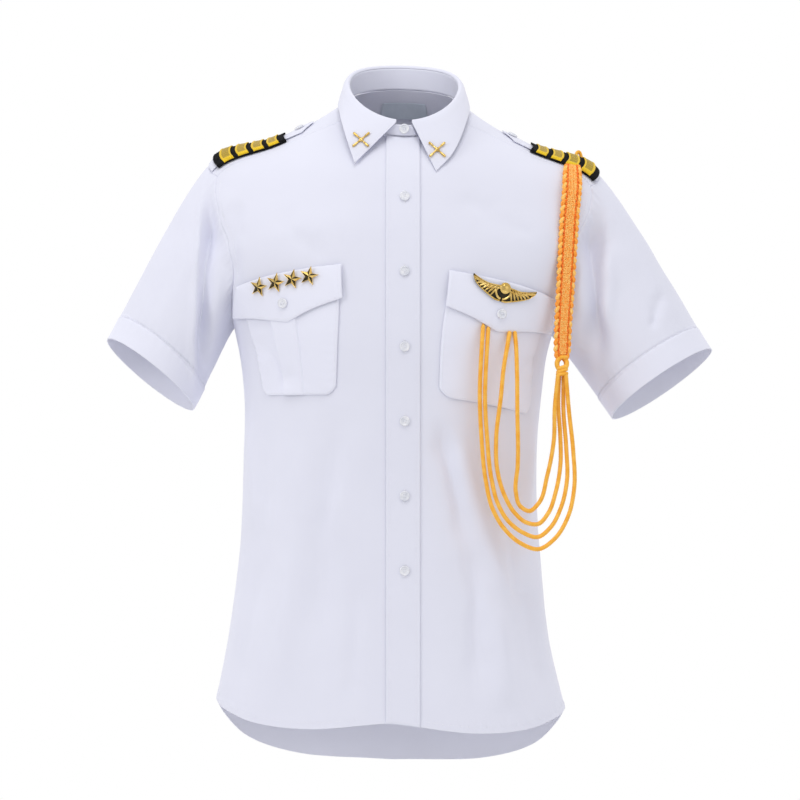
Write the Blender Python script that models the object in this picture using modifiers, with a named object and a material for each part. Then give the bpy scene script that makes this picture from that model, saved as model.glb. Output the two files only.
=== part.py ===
"""A white short-sleeved uniform shirt, worn and hollow, with rank slides, a braided cord and badges.

Blender works in metres here, +Z up. The front faces -Y and the viewer's right is +X.
The origin is the middle of the neck opening. Tables and sizes are in millimetres.
Left and right in a name are the wearer's, so a left piece lies at +X.
"""

import math
from collections import namedtuple

import bmesh
import bpy
import numpy as np
from mathutils import Matrix, Vector

MM = 0.001

# Driving sizes
WALL = 1.4
COLLAR_WALL = 1.6
SEAM_GAP = 0.3
BACK_SEAM_ROWS = 0.008  # half the back seam's gap, as a share of the way between two rings
LEAN = 0.026  # how far the whole shirt hangs lower towards the viewer's right, per unit of x
FRONT_RIGHT_EDGE_X = 16.0
PLACKET_X = (-21.0, 18.2)
FRONT_LEFT_EDGE_X = 18.6
PLACKET_LIFT = 2.0
BUTTON_RADIUS = 5.6
BUTTON_HEIGHT = 2.2
STRAP_WIDTH = 46.0
SLIDE_WIDTH = 54.0
SLIDE_WALL = 2.0
GOLD_BAR = 13.0
GOLD_BAR_PITCH = 19.2
BRAID_WIDTH = 23.0
BRAID_THICK = 3.0
CORD_DIAMETER = 4.6
STAR_RADIUS = 12.0
LABEL_HALF_ANGLE = 16.0
COLLECTION = "pilot_shirt"

# The trunk below the shoulders: level rings, measured from the middle of each
Ring = namedtuple("Ring", "name height centre_x half_width front_depth back_depth squareness")
TRUNK = (
    Ring("mid_armhole", -160, -5, 228, 118, 120, 2.4),
    Ring("armpit", -256, -13, 190, 123, 119, 2.4),
    Ring("lower_chest", -338, -14, 177, 117, 106, 2.3),
    Ring("waist", -430, -17, 175, 112, 100, 2.3),
    Ring("stomach", -530, -17, 180, 111, 102, 2.3),
    Ring("hip", -620, -18, 191, 113, 108, 2.3),
    Ring("hem", -700, -16, 208, 116, 112, 2.3),
)
# Height of the hem by angle: 0 is the centre front, 90 the side seam, 180 the centre back
HemPoint = namedtuple("HemPoint", "angle height")
HEM = (
    HemPoint(0, -712), HemPoint(22, -722), HemPoint(45, -720), HemPoint(70, -708),
    HemPoint(90, -703), HemPoint(104, -722), HemPoint(125, -756), HemPoint(150, -779), HemPoint(180, -786),
)
# Rings over the shoulders, by angle
RingPoint = namedtuple("RingPoint", "angle x y height")
MID_YOKE = (
    RingPoint(0, 0, -94, -68), RingPoint(35, 77, -82, -60), RingPoint(65, 148, -34, -43),
    RingPoint(90, 152, 4, -31), RingPoint(115, 149, 50, -43), RingPoint(145, 90, 82, -18),
    RingPoint(180, 0, 93, -5),
)
YOKE = (
    RingPoint(0, 0, -109, -112), RingPoint(35, 112, -93, -106), RingPoint(65, 221, -35, -79),
    RingPoint(90, 230, 4, -62), RingPoint(115, 217, 52, -92), RingPoint(145, 138, 100, -84),
    RingPoint(180, 0, 109, -62),
)
LAST_ROW = 1 + len(TRUNK) + 1
FRONT_SEAM_ANGLE = 65.0
BACK_SEAM_ANGLE = 115.0

# Neck seam and collar fold: half width, middle and half depth, then height at front, side and back
NeckRing = namedtuple("NeckRing", "half_width middle_y half_depth front side back")
NECK = NeckRing(70, -2.5, 67.5, -30, 12, 41)
FOLD = NeckRing(65, -5.5, 67.5, -12, 40, 70)
# Free edge of the collar leaf, from the front tip round to the back, for each side
LeafPoint = namedtuple("LeafPoint", "angle x y height")
LEAF_EDGE = {
    "right": (
        LeafPoint(8, -57.7, -95, -65), LeafPoint(30, -66, -80, -38), LeafPoint(60, -75, -44, -4),
        LeafPoint(90, -78, -3, 15), LeafPoint(135, -57, 57, 35), LeafPoint(180, 0, 79, 33),
    ),
    "left": (
        LeafPoint(8, 37.2, -97, -72), LeafPoint(30, 56, -86, -50), LeafPoint(60, 73, -46, -8),
        LeafPoint(90, 78, -3, 15), LeafPoint(135, 57, 57, 35), LeafPoint(180, 0, 79, 33),
    ),
}

# Sleeve cuffs: the four ends of each opening, for the sleeve on each side
Cuff = namedtuple("Cuff", "outer inner front rear")
CUFF = {
    "right": Cuff((-357, 0, -270), (-255, 6, -350), (-297, -64, -292), (-309, 68, -320)),
    "left": Cuff((368, 0, -281), (250, 6, -360), (304, -64, -305), (316, 68, -332)),
}

# Soft folds of the trunk, as lines from one angle and height to another; depth is outwards
Fold = namedtuple("Fold", "angle_1 height_1 angle_2 height_2 width depth")
BODY_FOLDS = (
    Fold(-72, -350, -58, -500, 20, 4.0),
    Fold(74, -365, 60, -510, 20, 4.0),
    Fold(-34, -480, -40, -700, 24, 3.5),
    Fold(-58, -520, -62, -700, 24, -4.5),
    Fold(36, -500, 42, -700, 24, 3.5),
    Fold(60, -520, 62, -700, 24, -4.5),
    Fold(-118, -190, -140, -330, 18, -4.5),
    Fold(118, -200, 142, -340, 18, -4.5),
    Fold(-132, -420, -126, -700, 26, 5.0),
    Fold(132, -430, 128, -700, 26, 5.0),
    Fold(-156, -380, -160, -740, 24, -4.0),
    Fold(154, -380, 160, -740, 24, -4.0),
)
# Soft folds of a sleeve: share of its length, and the angles round it where the fold starts and ends
SleeveFold = namedtuple("SleeveFold", "share middle_angle half_angle width depth")
SLEEVE_FOLDS = (
    SleeveFold(0.16, 80, 55, 0.10, -7.0),
    SleeveFold(0.34, 84, 48, 0.10, 3.0),
    SleeveFold(0.16, 280, 50, 0.10, -6.0),
    SleeveFold(0.55, 128, 26, 0.16, -4.0),
    SleeveFold(0.60, 236, 26, 0.16, -4.0),
)

# Patches on the front, as corners at x and height
Corner = namedtuple("Corner", "x height")
Pocket = namedtuple("Pocket", "top_inner top_outer low_outer low_inner pleat_step")
POCKET = {
    "right": Pocket(Corner(-74.5, -216), Corner(-187, -232), Corner(-163, -333), Corner(-79, -332), 1.5),
    "left": Pocket(Corner(50, -220), Corner(168, -236), Corner(146, -356), Corner(40, -334), 1.1),
}
Flap = namedtuple("Flap", "top_inner top_outer low_outer point low_inner")
FLAP = {
    "right": Flap(Corner(-72, -182), Corner(-194, -206), Corner(-197, -241),
                  Corner(-133, -248), Corner(-70.5, -221)),
    "left": Flap(Corner(51.7, -189), Corner(174, -220), Corner(169, -259),
                 Corner(105.4, -259), Corner(47.3, -230)),
}
COLLAR_PINS = (("right", -20.5, 0.77), ("left", 18.0, 0.78))  # side, angle and share of the leaf
PIN_ARM = 13.0
PIN_BAR = 3.0
POCKET_LIFT = 2.5
FLAP_LIFT = 6.1
FLAP_BUTTON = {"right": Corner(-137.8, -226), "left": Corner(110.3, -238)}
FRONT_BUTTON_HEIGHTS = (-103.5, -190, -276.5, -362.5, -449, -535.5)
STARS = (Corner(-165.4, -206.5), Corner(-146.3, -202.5), Corner(-127.2, -199), Corner(-108.1, -195.8))
WINGS = (Corner(78.1, -195), Corner(151.8, -214.5))
WINGS_CENTRE = Corner(114.3, -208.9)
# Edges of the winged badge by share of its half length, in millimetres above its middle line
WingStation = namedtuple("WingStation", "share top low")
WING_STATIONS = (
    WingStation(0, 2.2, -15.2), WingStation(0.15, 2.0, -15.4), WingStation(0.3, 1.2, -13.8), WingStation(0.5, 0.4, -11.3),
    WingStation(0.7, 1.0, -8.8), WingStation(0.85, 2.0, -6.1), WingStation(0.95, 2.8, -2.3), WingStation(1.0, 3.2, 0.6),
)

# Shoulder straps: length from the sleeve seam, the rank slide's two ends, and the button
Strap = namedtuple("Strap", "length slide_from slide_to button")
STRAP = {"right": Strap(134, 9, 97, 116), "left": Strap(126, 3, 88, 113)}
STRAP_ANGLE = 84.0
STRAP_LIFT = 2.5
SLIDE_LIFT = 4.9
BAR_LIFT = 6.7

# The braid hangs from under the left slide; the four cords loop from its knot to the pocket flap
RoutePoint = namedtuple("RoutePoint", "x y z")
BRAID = (
    RoutePoint(199, -42, -68), RoutePoint(197.5, -60, -90), RoutePoint(194, -72, -120),
    RoutePoint(191, -80, -160), RoutePoint(188, -83, -210), RoutePoint(185.5, -83.5, -250),
    RoutePoint(184, -83.5, -290),
)
KNOT_CENTRE = (184, -83, -300)
CORDS = (
    (RoutePoint(91, -117.4, -254), RoutePoint(89.5, -123, -275), RoutePoint(88, -125, -300), RoutePoint(87, -125, -334),
     RoutePoint(89, -122, -382), RoutePoint(94, -120, -431), RoutePoint(102, -119, -464),
     RoutePoint(114, -116, -485), RoutePoint(133, -112, -503), RoutePoint(156, -106, -511),
     RoutePoint(175, -100, -499), RoutePoint(190, -95, -475), RoutePoint(198, -91, -440),
     RoutePoint(197, -88, -398), RoutePoint(192, -86, -350), RoutePoint(188.5, -86.5, -308.5)),
    (RoutePoint(97, -116.4, -257), RoutePoint(95.5, -122, -278), RoutePoint(94, -124.5, -303), RoutePoint(93, -125, -334),
     RoutePoint(95.5, -122, -382), RoutePoint(100.5, -120, -429), RoutePoint(108.5, -119, -459),
     RoutePoint(120, -116, -478), RoutePoint(136, -112, -491), RoutePoint(155, -106, -497),
     RoutePoint(170, -100, -486), RoutePoint(182, -95, -464), RoutePoint(189.5, -91, -432),
     RoutePoint(189, -87, -395), RoutePoint(186, -83, -352), RoutePoint(186.2, -80, -309.3)),
    (RoutePoint(122, -105.5, -261), RoutePoint(119.5, -111, -275), RoutePoint(115, -117, -300), RoutePoint(111.5, -120, -334),
     RoutePoint(106, -119, -384), RoutePoint(107.5, -118, -420), RoutePoint(116, -117, -449),
     RoutePoint(127, -114, -468), RoutePoint(141, -110, -480), RoutePoint(155, -106, -482),
     RoutePoint(167, -100, -470), RoutePoint(176, -95, -446), RoutePoint(182, -90, -413),
     RoutePoint(182, -86, -380), RoutePoint(180, -82, -346), RoutePoint(181, -80, -309.3)),
    (RoutePoint(128.5, -101.5, -261), RoutePoint(129.5, -107, -275), RoutePoint(130.2, -112.5, -300), RoutePoint(130.5, -117, -350),
     RoutePoint(131, -114, -415), RoutePoint(129, -111, -444), RoutePoint(134, -109, -461),
     RoutePoint(145, -106, -467), RoutePoint(156, -102, -458), RoutePoint(166, -97, -427),
     RoutePoint(174, -93, -386), RoutePoint(175.5, -90, -346), RoutePoint(179.5, -86.5, -308.5)),
)
CORD_STEP = 13.0

Finish = namedtuple("Finish", "red green blue roughness metallic")
FINISHES = {
    "shirt_cloth": Finish(0.86, 0.87, 0.93, 0.85, 0.0),
    "slide_cloth": Finish(0.012, 0.012, 0.014, 0.7, 0.0),
    "gold_lace": Finish(0.72, 0.45, 0.03, 0.45, 0.3),
    "gold_metal": Finish(0.62, 0.43, 0.12, 0.35, 1.0),
    "orange_cord": Finish(0.95, 0.42, 0.06, 0.6, 0.0),
    "button_shell": Finish(0.85, 0.85, 0.88, 0.25, 0.0),
    "label_cloth": Finish(0.45, 0.5, 0.6, 0.8, 0.0),
}


def smooth(stations, values, at):
    """A smooth curve through the values at rising stations, read at each place in at."""
    stations = np.asarray(stations, float)
    values = np.asarray(values, float)
    at = np.atleast_1d(np.asarray(at, float))
    slopes = np.gradient(values, stations, axis=0)
    i = np.clip(np.searchsorted(stations, at, side="right") - 1, 0, len(stations) - 2)
    width = stations[i + 1] - stations[i]
    t = (at - stations[i]) / width
    if values.ndim == 3:
        each = np.arange(len(at))
        start, end = values[i, each], values[i + 1, each]
        rise, fall = slopes[i, each], slopes[i + 1, each]
    else:
        start, end, rise, fall = values[i], values[i + 1], slopes[i], slopes[i + 1]
    if values.ndim > 1:
        t, width = t[:, None], width[:, None]
    return (
        (2 * t**3 - 3 * t**2 + 1) * start + (t**3 - 2 * t**2 + t) * width * rise
        + (3 * t**2 - 2 * t**3) * end + (t**3 - t**2) * width * fall
    )


def neck_ring(ring, angle):
    """Points of a tilted neck ring at signed angles."""
    turn = np.radians(angle)
    even = (ring.front + ring.back) / 2 - ring.side
    tilt = (ring.front - ring.back) / 2
    height = ring.side + tilt * np.cos(turn) + even * np.cos(turn) ** 2
    return np.stack(
        [ring.half_width * np.sin(turn), ring.middle_y - ring.half_depth * np.cos(turn), height], -1
    )


def shoulder_ring(table, angle):
    """Points of a ring given by a table, the same on both sides."""
    before = [(-p.angle, -p.x, p.y, p.height) for p in (table[2], table[1])]
    after = [(360 - p.angle, -p.x, p.y, p.height) for p in (table[-2], table[-3])]
    rows = np.array(before + [tuple(p) for p in table] + after, float)
    points = smooth(rows[:, 0], rows[:, 1:], np.abs(angle))
    points[:, 0] *= np.where(angle < 0, -1, 1)
    return points


def trunk_ring(ring, angle):
    """Points of a level ring; the lowest follows the hem's curve."""
    turn = np.radians(angle)
    across, along = np.sin(turn), np.cos(turn)
    power = 2 / ring.squareness
    depth = np.where(along > 0, ring.front_depth, ring.back_depth)
    x = ring.centre_x + ring.half_width * np.sign(across) * np.abs(across) ** power
    y = -depth * np.sign(along) * np.abs(along) ** power
    height = np.full(len(x), float(ring.height))
    if ring.name == "hem":
        height = smooth([p.angle for p in HEM], [p.height for p in HEM], np.abs(angle))
    return np.stack([x, y, height], -1)


def wrapped(angle):
    """Angles from -180 to 180."""
    return (np.asarray(angle, float) + 180) % 360 - 180


def plain_shirt(angle, row):
    """The shirt's surface with no folds: rows run from the neck (0) to the hem."""
    angle = wrapped(angle)
    rings = [neck_ring(NECK, angle), shoulder_ring(MID_YOKE, angle), shoulder_ring(YOKE, angle)]
    rings += [trunk_ring(ring, angle) for ring in TRUNK]
    points = smooth(range(len(rings)), np.array(rings), row)
    points[:, 2] -= LEAN * points[:, 0]
    return points


def along_line(angle, height, fold):
    """How near each point is to a fold's line, from 0 to 1, fading out at its ends."""
    scale = 3.1  # millimetres round the trunk for one degree
    start = np.array([fold.angle_1 * scale, fold.height_1])
    run = np.array([fold.angle_2 * scale, fold.height_2]) - start
    rel = np.stack([angle * scale, height], -1) - start
    share = rel @ run / (run @ run)
    aside = (rel[:, 0] * run[1] - rel[:, 1] * run[0]) / np.hypot(*run)
    ends = np.clip(share * 4, 0, 1) * np.clip((1 - share) * 4, 0, 1)
    return np.exp(-((aside / fold.width) ** 2)) * ends


def shirt(angle, row):
    """The shirt's surface at signed angles and rows, with its soft folds."""
    angle = wrapped(np.atleast_1d(angle))
    row = np.broadcast_to(np.asarray(row, float), angle.shape)
    points = plain_shirt(angle, row)
    out = sum(fold.depth * along_line(angle, points[:, 2], fold) for fold in BODY_FOLDS)
    turn = np.radians(angle)
    points[:, 0] += out * np.sin(turn)
    points[:, 1] -= out * np.cos(turn)
    return points


def normals(surface, u, w, step_u, step_w):
    """Outward directions of a surface whose u runs anticlockwise seen from above and w outwards."""
    along_u = surface(u + step_u, w) - surface(u - step_u, w)
    along_w = surface(u, w + step_w) - surface(u, w - step_w)
    found = np.cross(along_w, along_u)
    return found / np.linalg.norm(found, axis=-1, keepdims=True)


def on_shirt(angle, row, lift):
    """Points lifted off the shirt's surface along its normals."""
    angle = np.atleast_1d(np.asarray(angle, float))
    row = np.clip(np.broadcast_to(np.asarray(row, float), angle.shape), 0.02, LAST_ROW - 0.02)
    return shirt(angle, row) + np.asarray(lift)[..., None] * normals(shirt, angle, row, 0.5, 0.01)


def locate(x, height):
    """The angle and row of the front's point at this x and height."""
    angles, rows = np.meshgrid(np.arange(-88, 89, 4.0), np.arange(0.2, LAST_ROW, 0.2))
    angles, rows = angles.ravel(), rows.ravel()
    points = plain_shirt(angles, rows)
    nearest = np.argmin((points[:, 0] - x) ** 2 + (points[:, 2] - height) ** 2)
    place = np.array([angles[nearest], rows[nearest]])
    for _ in range(8):
        here = shirt(place[:1], place[1:])[0]
        right = shirt(place[:1] + 0.2, place[1:])[0]
        down = shirt(place[:1], place[1:] + 0.01)[0]
        slopes = np.array([[right[0] - here[0], down[0] - here[0]], [right[2] - here[2], down[2] - here[2]]])
        slopes /= np.array([0.2, 0.01])
        place = place + np.clip(np.linalg.solve(slopes, [x - here[0], height - here[2]]), -3, 3)
    return place


def angle_at_x(x, row):
    """The front's angle where the surface crosses this x, at each row."""
    low, high = np.full(len(row), -60.0), np.full(len(row), 60.0)
    for _ in range(40):
        middle = (low + high) / 2
        left_of = shirt(middle, row)[:, 0] < x
        low, high = np.where(left_of, middle, low), np.where(left_of, high, middle)
    return low


def edge_angle(row, seam_angle, armhole_angle):
    """Where a panel ends: its shoulder seam, then the armhole, then the side seam."""
    row = np.asarray(row, float)
    down = np.clip(row - 2, 0, 1) * (armhole_angle - seam_angle)
    round_under = np.clip(row - 3, 0, 1) ** 2.6 * (90 - armhole_angle)
    return seam_angle + down + round_under


def front_edge(row):
    return edge_angle(row, FRONT_SEAM_ANGLE, 60.0)


def back_edge(row):
    return edge_angle(row, BACK_SEAM_ANGLE, 118.0)


def collection():
    found = bpy.data.collections.get(COLLECTION)
    if found is None:
        found = bpy.data.collections.new(COLLECTION)
        bpy.context.scene.collection.children.link(found)
    return found


def material(name):
    made = bpy.data.materials.get(name)
    if made is None:
        finish = FINISHES[name]
        made = bpy.data.materials.new(name)
        made.use_nodes = True
        shader = made.node_tree.nodes["Principled BSDF"]
        shader.inputs["Base Color"].default_value = (finish.red, finish.green, finish.blue, 1)
        shader.inputs["Roughness"].default_value = finish.roughness
        shader.inputs["Metallic"].default_value = finish.metallic
    return made


def add(name, data, finish):
    obj = bpy.data.objects.new(name, data)
    data.materials.append(material(finish))
    collection().objects.link(obj)
    return obj


def mesh_from(name, bm, finish):
    bmesh.ops.recalc_face_normals(bm, faces=bm.faces[:])
    mesh = bpy.data.meshes.new(name)
    bm.to_mesh(mesh)
    bm.free()
    mesh.shade_smooth()
    return add(name, mesh, finish)


def cloth(name, points, wall, finish, closed=False):
    """A wall of cloth through a grid of points in millimetres, thickened to both sides."""
    rows, columns = points.shape[:2]
    bm = bmesh.new()
    bmesh.ops.create_grid(bm, x_segments=columns - 1, y_segments=rows - 1, size=1)
    bm.verts.ensure_lookup_table()
    for vert, place in zip(bm.verts, points.reshape(-1, 3)):
        vert.co = Vector(place) * MM
    if closed:
        bmesh.ops.remove_doubles(bm, verts=bm.verts[:], dist=1e-6)
    obj = mesh_from(name, bm, finish)
    shell = obj.modifiers.new("wall", "SOLIDIFY")
    shell.thickness = wall * MM
    shell.offset = 0
    return obj


def panel(name, rows, first_angle, last_angle, columns, wall=WALL, lift=0.0, finish="shirt_cloth"):
    """A panel of the shirt between two edges, each given as an angle for every row."""
    share = np.linspace(0, 1, columns)
    angles = first_angle[:, None] + (last_angle - first_angle)[:, None] * share
    grid_rows = np.repeat(rows, columns)
    points = shirt(angles.ravel(), grid_rows)
    if lift:
        points += lift * normals(shirt, angles.ravel(), np.clip(grid_rows, 0.02, LAST_ROW - 0.02), 0.5, 0.01)
    return cloth(name, points.reshape(len(rows), columns, 3), wall, finish)


def seam_angle(row, side_angle, gap=SEAM_GAP):
    """Moves a panel's edge in by half the seam's gap, turned into degrees."""
    here = shirt(side_angle, row)
    near = shirt(side_angle + 0.5, row)
    return (gap + 0.2) / 2 / np.maximum(np.linalg.norm(near - here, axis=-1) / 0.5, 0.3)


PANEL_ROWS = np.array([0, 0.25, 0.5, 0.75, 1, 1.25, 1.5, 1.75, 2, 2.5, 3, 3.35, 3.6, 3.8, 3.92, 4, 4.4, 5, 5.6, 6.3, 7, 7.7, 8.4, 9])


def fronts():
    """Both fronts; the wearer's right one runs on under the placket."""
    edge = front_edge(PANEL_ROWS)
    inset = seam_angle(PANEL_ROWS, edge)
    rows = PANEL_ROWS.copy()
    panel("front_right", rows, -(edge - inset), angle_at_x(FRONT_RIGHT_EDGE_X, rows), 13)
    panel("front_left", rows, angle_at_x(FRONT_LEFT_EDGE_X, rows), edge - inset, 12)


def placket():
    """The buttoning strip of the wearer's left front, on top of the lap."""
    rows = np.linspace(0.06, LAST_ROW, 19)
    panel("placket", rows, angle_at_x(PLACKET_X[0], rows), angle_at_x(PLACKET_X[1], rows), 3,
          lift=PLACKET_LIFT)


def back():
    rows = PANEL_ROWS[PANEL_ROWS > 2]
    rows = np.concatenate([[2 + BACK_SEAM_ROWS], rows])
    edge = back_edge(rows)
    inset = seam_angle(rows, edge)
    panel("back", rows, edge + inset, 360 - edge - inset, 25)


def yoke():
    """The shoulder yoke, from the front seams over the shoulders to the back seam."""
    rows = np.array([0, 0.25, 0.5, 0.75, 1, 1.25, 1.5, 1.75, 2 - BACK_SEAM_ROWS])
    edge = np.full(len(rows), FRONT_SEAM_ANGLE)
    inset = seam_angle(rows, edge)
    share = np.concatenate([np.linspace(0, 0.2, 6), np.linspace(0.2, 0.8, 14)[1:-1], np.linspace(0.8, 1, 6)])
    first, last = edge + inset, 360 - edge - inset
    angles = first[:, None] + (last - first)[:, None] * share
    points = shirt(angles.ravel(), np.repeat(rows, len(share)))
    cloth("yoke", points.reshape(len(rows), len(share), 3), WALL, "shirt_cloth")


def armhole(sign, count):
    """The armhole's closed curve, from the shoulder's top forwards, under the arm and up the back."""
    over = np.linspace(90, FRONT_SEAM_ANGLE, 20)
    down = 2 + 2 * np.linspace(0, 1, 80) ** 0.8
    front = np.stack([front_edge(down), down], -1)[1:]
    rear = np.stack([back_edge(down), down], -1)[::-1][1:]
    behind = np.linspace(BACK_SEAM_ANGLE, 90, 20)[1:]
    track = np.concatenate([
        np.stack([over, np.full(20, 2.0)], -1), front, rear, np.stack([behind, np.full(19, 2.0)], -1)
    ])
    points = shirt(sign * track[:, 0], track[:, 1])
    run = np.concatenate([[0], np.cumsum(np.linalg.norm(np.diff(points, axis=0), axis=-1))])
    places = np.linspace(0, run[-1], count)
    return np.stack([np.interp(places, run, points[:, k]) for k in range(3)], -1)


def sleeve_points(side, share, count):
    """Rings of a sleeve at shares of its length; each ring closes on its first point."""
    sign = 1 if side == "left" else -1
    cuff = CUFF[side]
    turn = np.linspace(0, 2 * np.pi, count)
    outer, inner, front, rear = (np.array(p, float) for p in cuff)
    middle = (outer + inner + front + rear) / 4
    end = middle + np.cos(turn)[:, None] * (outer - inner) / 2 + np.sin(turn)[:, None] * (front - rear) / 2
    start = armhole(sign, count)
    under = (1 - np.cos(turn)) / 2
    leave = np.stack([sign * (0.9 - 0.25 * under), 0 * turn, -0.45 - 0.35 * under], -1)
    start = start + leave * (0.9 + 0.9 * under**4)[:, None]
    leave *= (75 - 30 * under)[:, None]
    axis = middle - start.mean(axis=0)
    arrive = axis / np.linalg.norm(axis) * 110
    t = np.asarray(share, float)[:, None, None]
    rings = (
        (2 * t**3 - 3 * t**2 + 1) * start + (t**3 - 2 * t**2 + t) * leave
        + (3 * t**2 - 2 * t**3) * end + (t**3 - t**2) * arrive
    )
    centre = rings.mean(axis=1, keepdims=True)
    away = rings - centre
    away /= np.linalg.norm(away, axis=-1, keepdims=True)
    degrees = np.degrees(turn)
    for fold in SLEEVE_FOLDS:
        along = np.exp(-(((share - fold.share) / fold.width) ** 2))
        round_it = np.clip(1 - np.abs(degrees - fold.middle_angle) / fold.half_angle, 0, 1)
        soft = round_it**2 * (3 - 2 * round_it)
        rings = rings + fold.depth * (along[:, None] * soft)[..., None] * away
    return rings


SLEEVE_SHARES = np.array([0, 0.07, 0.15, 0.23, 0.33, 0.45, 0.58, 0.72, 0.86, 1])


def sleeves():
    for side in ("right", "left"):
        cloth(f"sleeve_{side}", sleeve_points(side, SLEEVE_SHARES, 33), WALL, "shirt_cloth", closed=True)


def lean(points):
    points[..., 2] -= LEAN * points[..., 0]
    return points


def collar_stand():
    """The band round the neck; its outer end laps over its inner end at the centre front."""
    turn = np.linspace(-11, 371, 47)
    base, top = neck_ring(NECK, turn), neck_ring(FOLD, turn)
    base[:, 2] += WALL / 2 + SEAM_GAP + 0.3
    top[:, 2] -= 4.6
    lap = np.clip((turn - 310) / 50, 0, 1)
    out = np.stack([np.sin(np.radians(turn)), -np.cos(np.radians(turn)), 0 * turn], -1)
    shift = out * (2.6 * lap**2 * (3 - 2 * lap))[:, None]
    share = np.array([0, 0.35, 0.7, 1])[:, None, None]
    points = base + shift + share * (top - base)
    cloth("collar_stand", lean(points), COLLAR_WALL, "shirt_cloth")


def leaf_edge(side, angle):
    rows = np.array([tuple(p) for p in LEAF_EDGE[side]], float)
    return smooth(rows[:, 0], rows[:, 1:], angle)


def fall_points(angle, share):
    """The turned-down collar: share runs from its top edge over the fold (0.3) to the free edge."""
    folded = np.abs(angle)
    ring = neck_ring(FOLD, angle)
    turn = np.radians(angle)
    out = np.stack([np.sin(turn), -np.cos(turn), 0 * turn], -1)
    up = np.array([0, 0, 1.0])
    front = np.clip((folded - 8) / 30, 0, 1)[:, None]
    roll_out = 4.2 + 1.8 * front
    free = np.where((angle > 0)[:, None], leaf_edge("left", folded), leaf_edge("right", folded))
    rolled = [
        ring - 2.6 * up, ring - 0.4 * up + 0.8 * out, ring + 0.6 * up + 0.5 * roll_out * out,
        ring - 2.6 * up + roll_out * out,
    ]
    below = [rolled[-1] + s * (free - rolled[-1]) for s in (0.25, 0.5, 0.75, 1.0)]
    stations = [0, 0.1, 0.2, 0.3, 0.475, 0.65, 0.825, 1.0]
    return smooth(stations, np.array(rolled + below), share)


FALL_SHARES = (0, 0.1, 0.2, 0.3, 0.42, 0.6, 0.8, 1.0)


def collar_fall():
    turn = np.concatenate([np.linspace(8, 60, 8), np.linspace(60, 180, 11)[1:]])
    angle = np.concatenate([turn, -turn[::-1][1:]])
    points = [fall_points(angle, np.full(len(angle), share)) for share in FALL_SHARES]
    cloth("collar_fall", lean(np.array(points)), COLLAR_WALL, "shirt_cloth")


def between(corners, across, down):
    """A place in a four-cornered patch, as an angle and a row."""
    top_inner, top_outer, low_outer, low_inner = corners
    top = top_inner + (top_outer - top_inner) * across[..., None]
    low = low_inner + (low_outer - low_inner) * across[..., None]
    return top + (low - top) * down[..., None]


def pockets():
    """Patch pockets with rounded lower corners and a box pleat, raised, down the middle."""
    for side, pocket in POCKET.items():
        corners = [locate(*corner) for corner in pocket[:4]]
        across, down = np.meshgrid(
            np.array([0, 0.09, 0.2, 0.33, 0.38, 0.5, 0.62, 0.67, 0.8, 0.91, 1]), np.linspace(0, 1, 9)
        )
        corner_cut = np.clip((np.abs(across - 0.5) - 0.4) / 0.1, 0, 1) ** 2 * 0.09
        place = between(corners, across, down * (1 - corner_cut))
        pleat = np.clip((0.17 - np.abs(across - 0.5)) / 0.05, 0, 1)
        lift = POCKET_LIFT + pocket.pleat_step * pleat
        points = on_shirt(place[..., 0].ravel(), place[..., 1].ravel(), lift.ravel())
        cloth(f"pocket_{side}", points.reshape(*across.shape, 3), WALL, "shirt_cloth")


def flaps():
    """Pocket flaps with a pointed lower edge."""
    for side, flap in FLAP.items():
        top_inner, top_outer, low_outer, point, low_inner = (locate(*corner) for corner in flap)
        columns = np.linspace(0, 1, 11)
        peak = 0.5
        low = np.where(
            (columns < peak)[:, None],
            low_inner + (point - low_inner) * (columns / peak)[:, None],
            point + (low_outer - point) * ((columns - peak) / (1 - peak))[:, None],
        )
        top = top_inner + (top_outer - top_inner) * columns[:, None]
        share = np.linspace(0, 1, 6)[:, None, None]
        place = top + (low - top) * share
        lift = np.broadcast_to(FLAP_LIFT - 2.6 * (1 - share[..., 0]) ** 3, place.shape[:2])
        points = on_shirt(place[..., 0].ravel(), place[..., 1].ravel(), lift.ravel())
        cloth(f"flap_{side}", points.reshape(*place.shape[:2], 3), WALL, "shirt_cloth")


def strap_frame(sign):
    """Rows along the shoulder for distances from the sleeve seam, and degrees for a millimetre across."""
    rows = np.linspace(2 - 0.012, 0.1, 120)
    line = shirt(np.full(120, sign * STRAP_ANGLE), rows)
    run = np.concatenate([[0], np.cumsum(np.linalg.norm(np.diff(line, axis=0), axis=-1))])
    beside = shirt(np.full(120, sign * (STRAP_ANGLE + 1)), rows)
    return run, rows, 1 / np.linalg.norm(beside - line, axis=-1)


def on_strap(sign, distance, aside, lift):
    """Points at a distance from the sleeve seam and to one side of the strap's middle."""
    run, rows, degrees = strap_frame(sign)
    row = np.interp(distance, run, rows)
    angle = sign * (STRAP_ANGLE + aside * np.interp(distance, run, degrees))
    return on_shirt(angle, row, lift)


def strip(name, sign, stations, half_width, columns, wall, lift, finish):
    """A strip along the shoulder strap's line, as wide at each station as half_width says."""
    aside = np.linspace(-1, 1, columns)[None, :] * np.asarray(half_width, float)[:, None]
    distance = np.repeat(stations, columns)
    lifts = np.full(len(distance), float(lift))
    points = on_strap(sign, distance, aside.ravel(), lifts).reshape(len(stations), columns, 3)
    return cloth(name, points, wall, finish)


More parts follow.
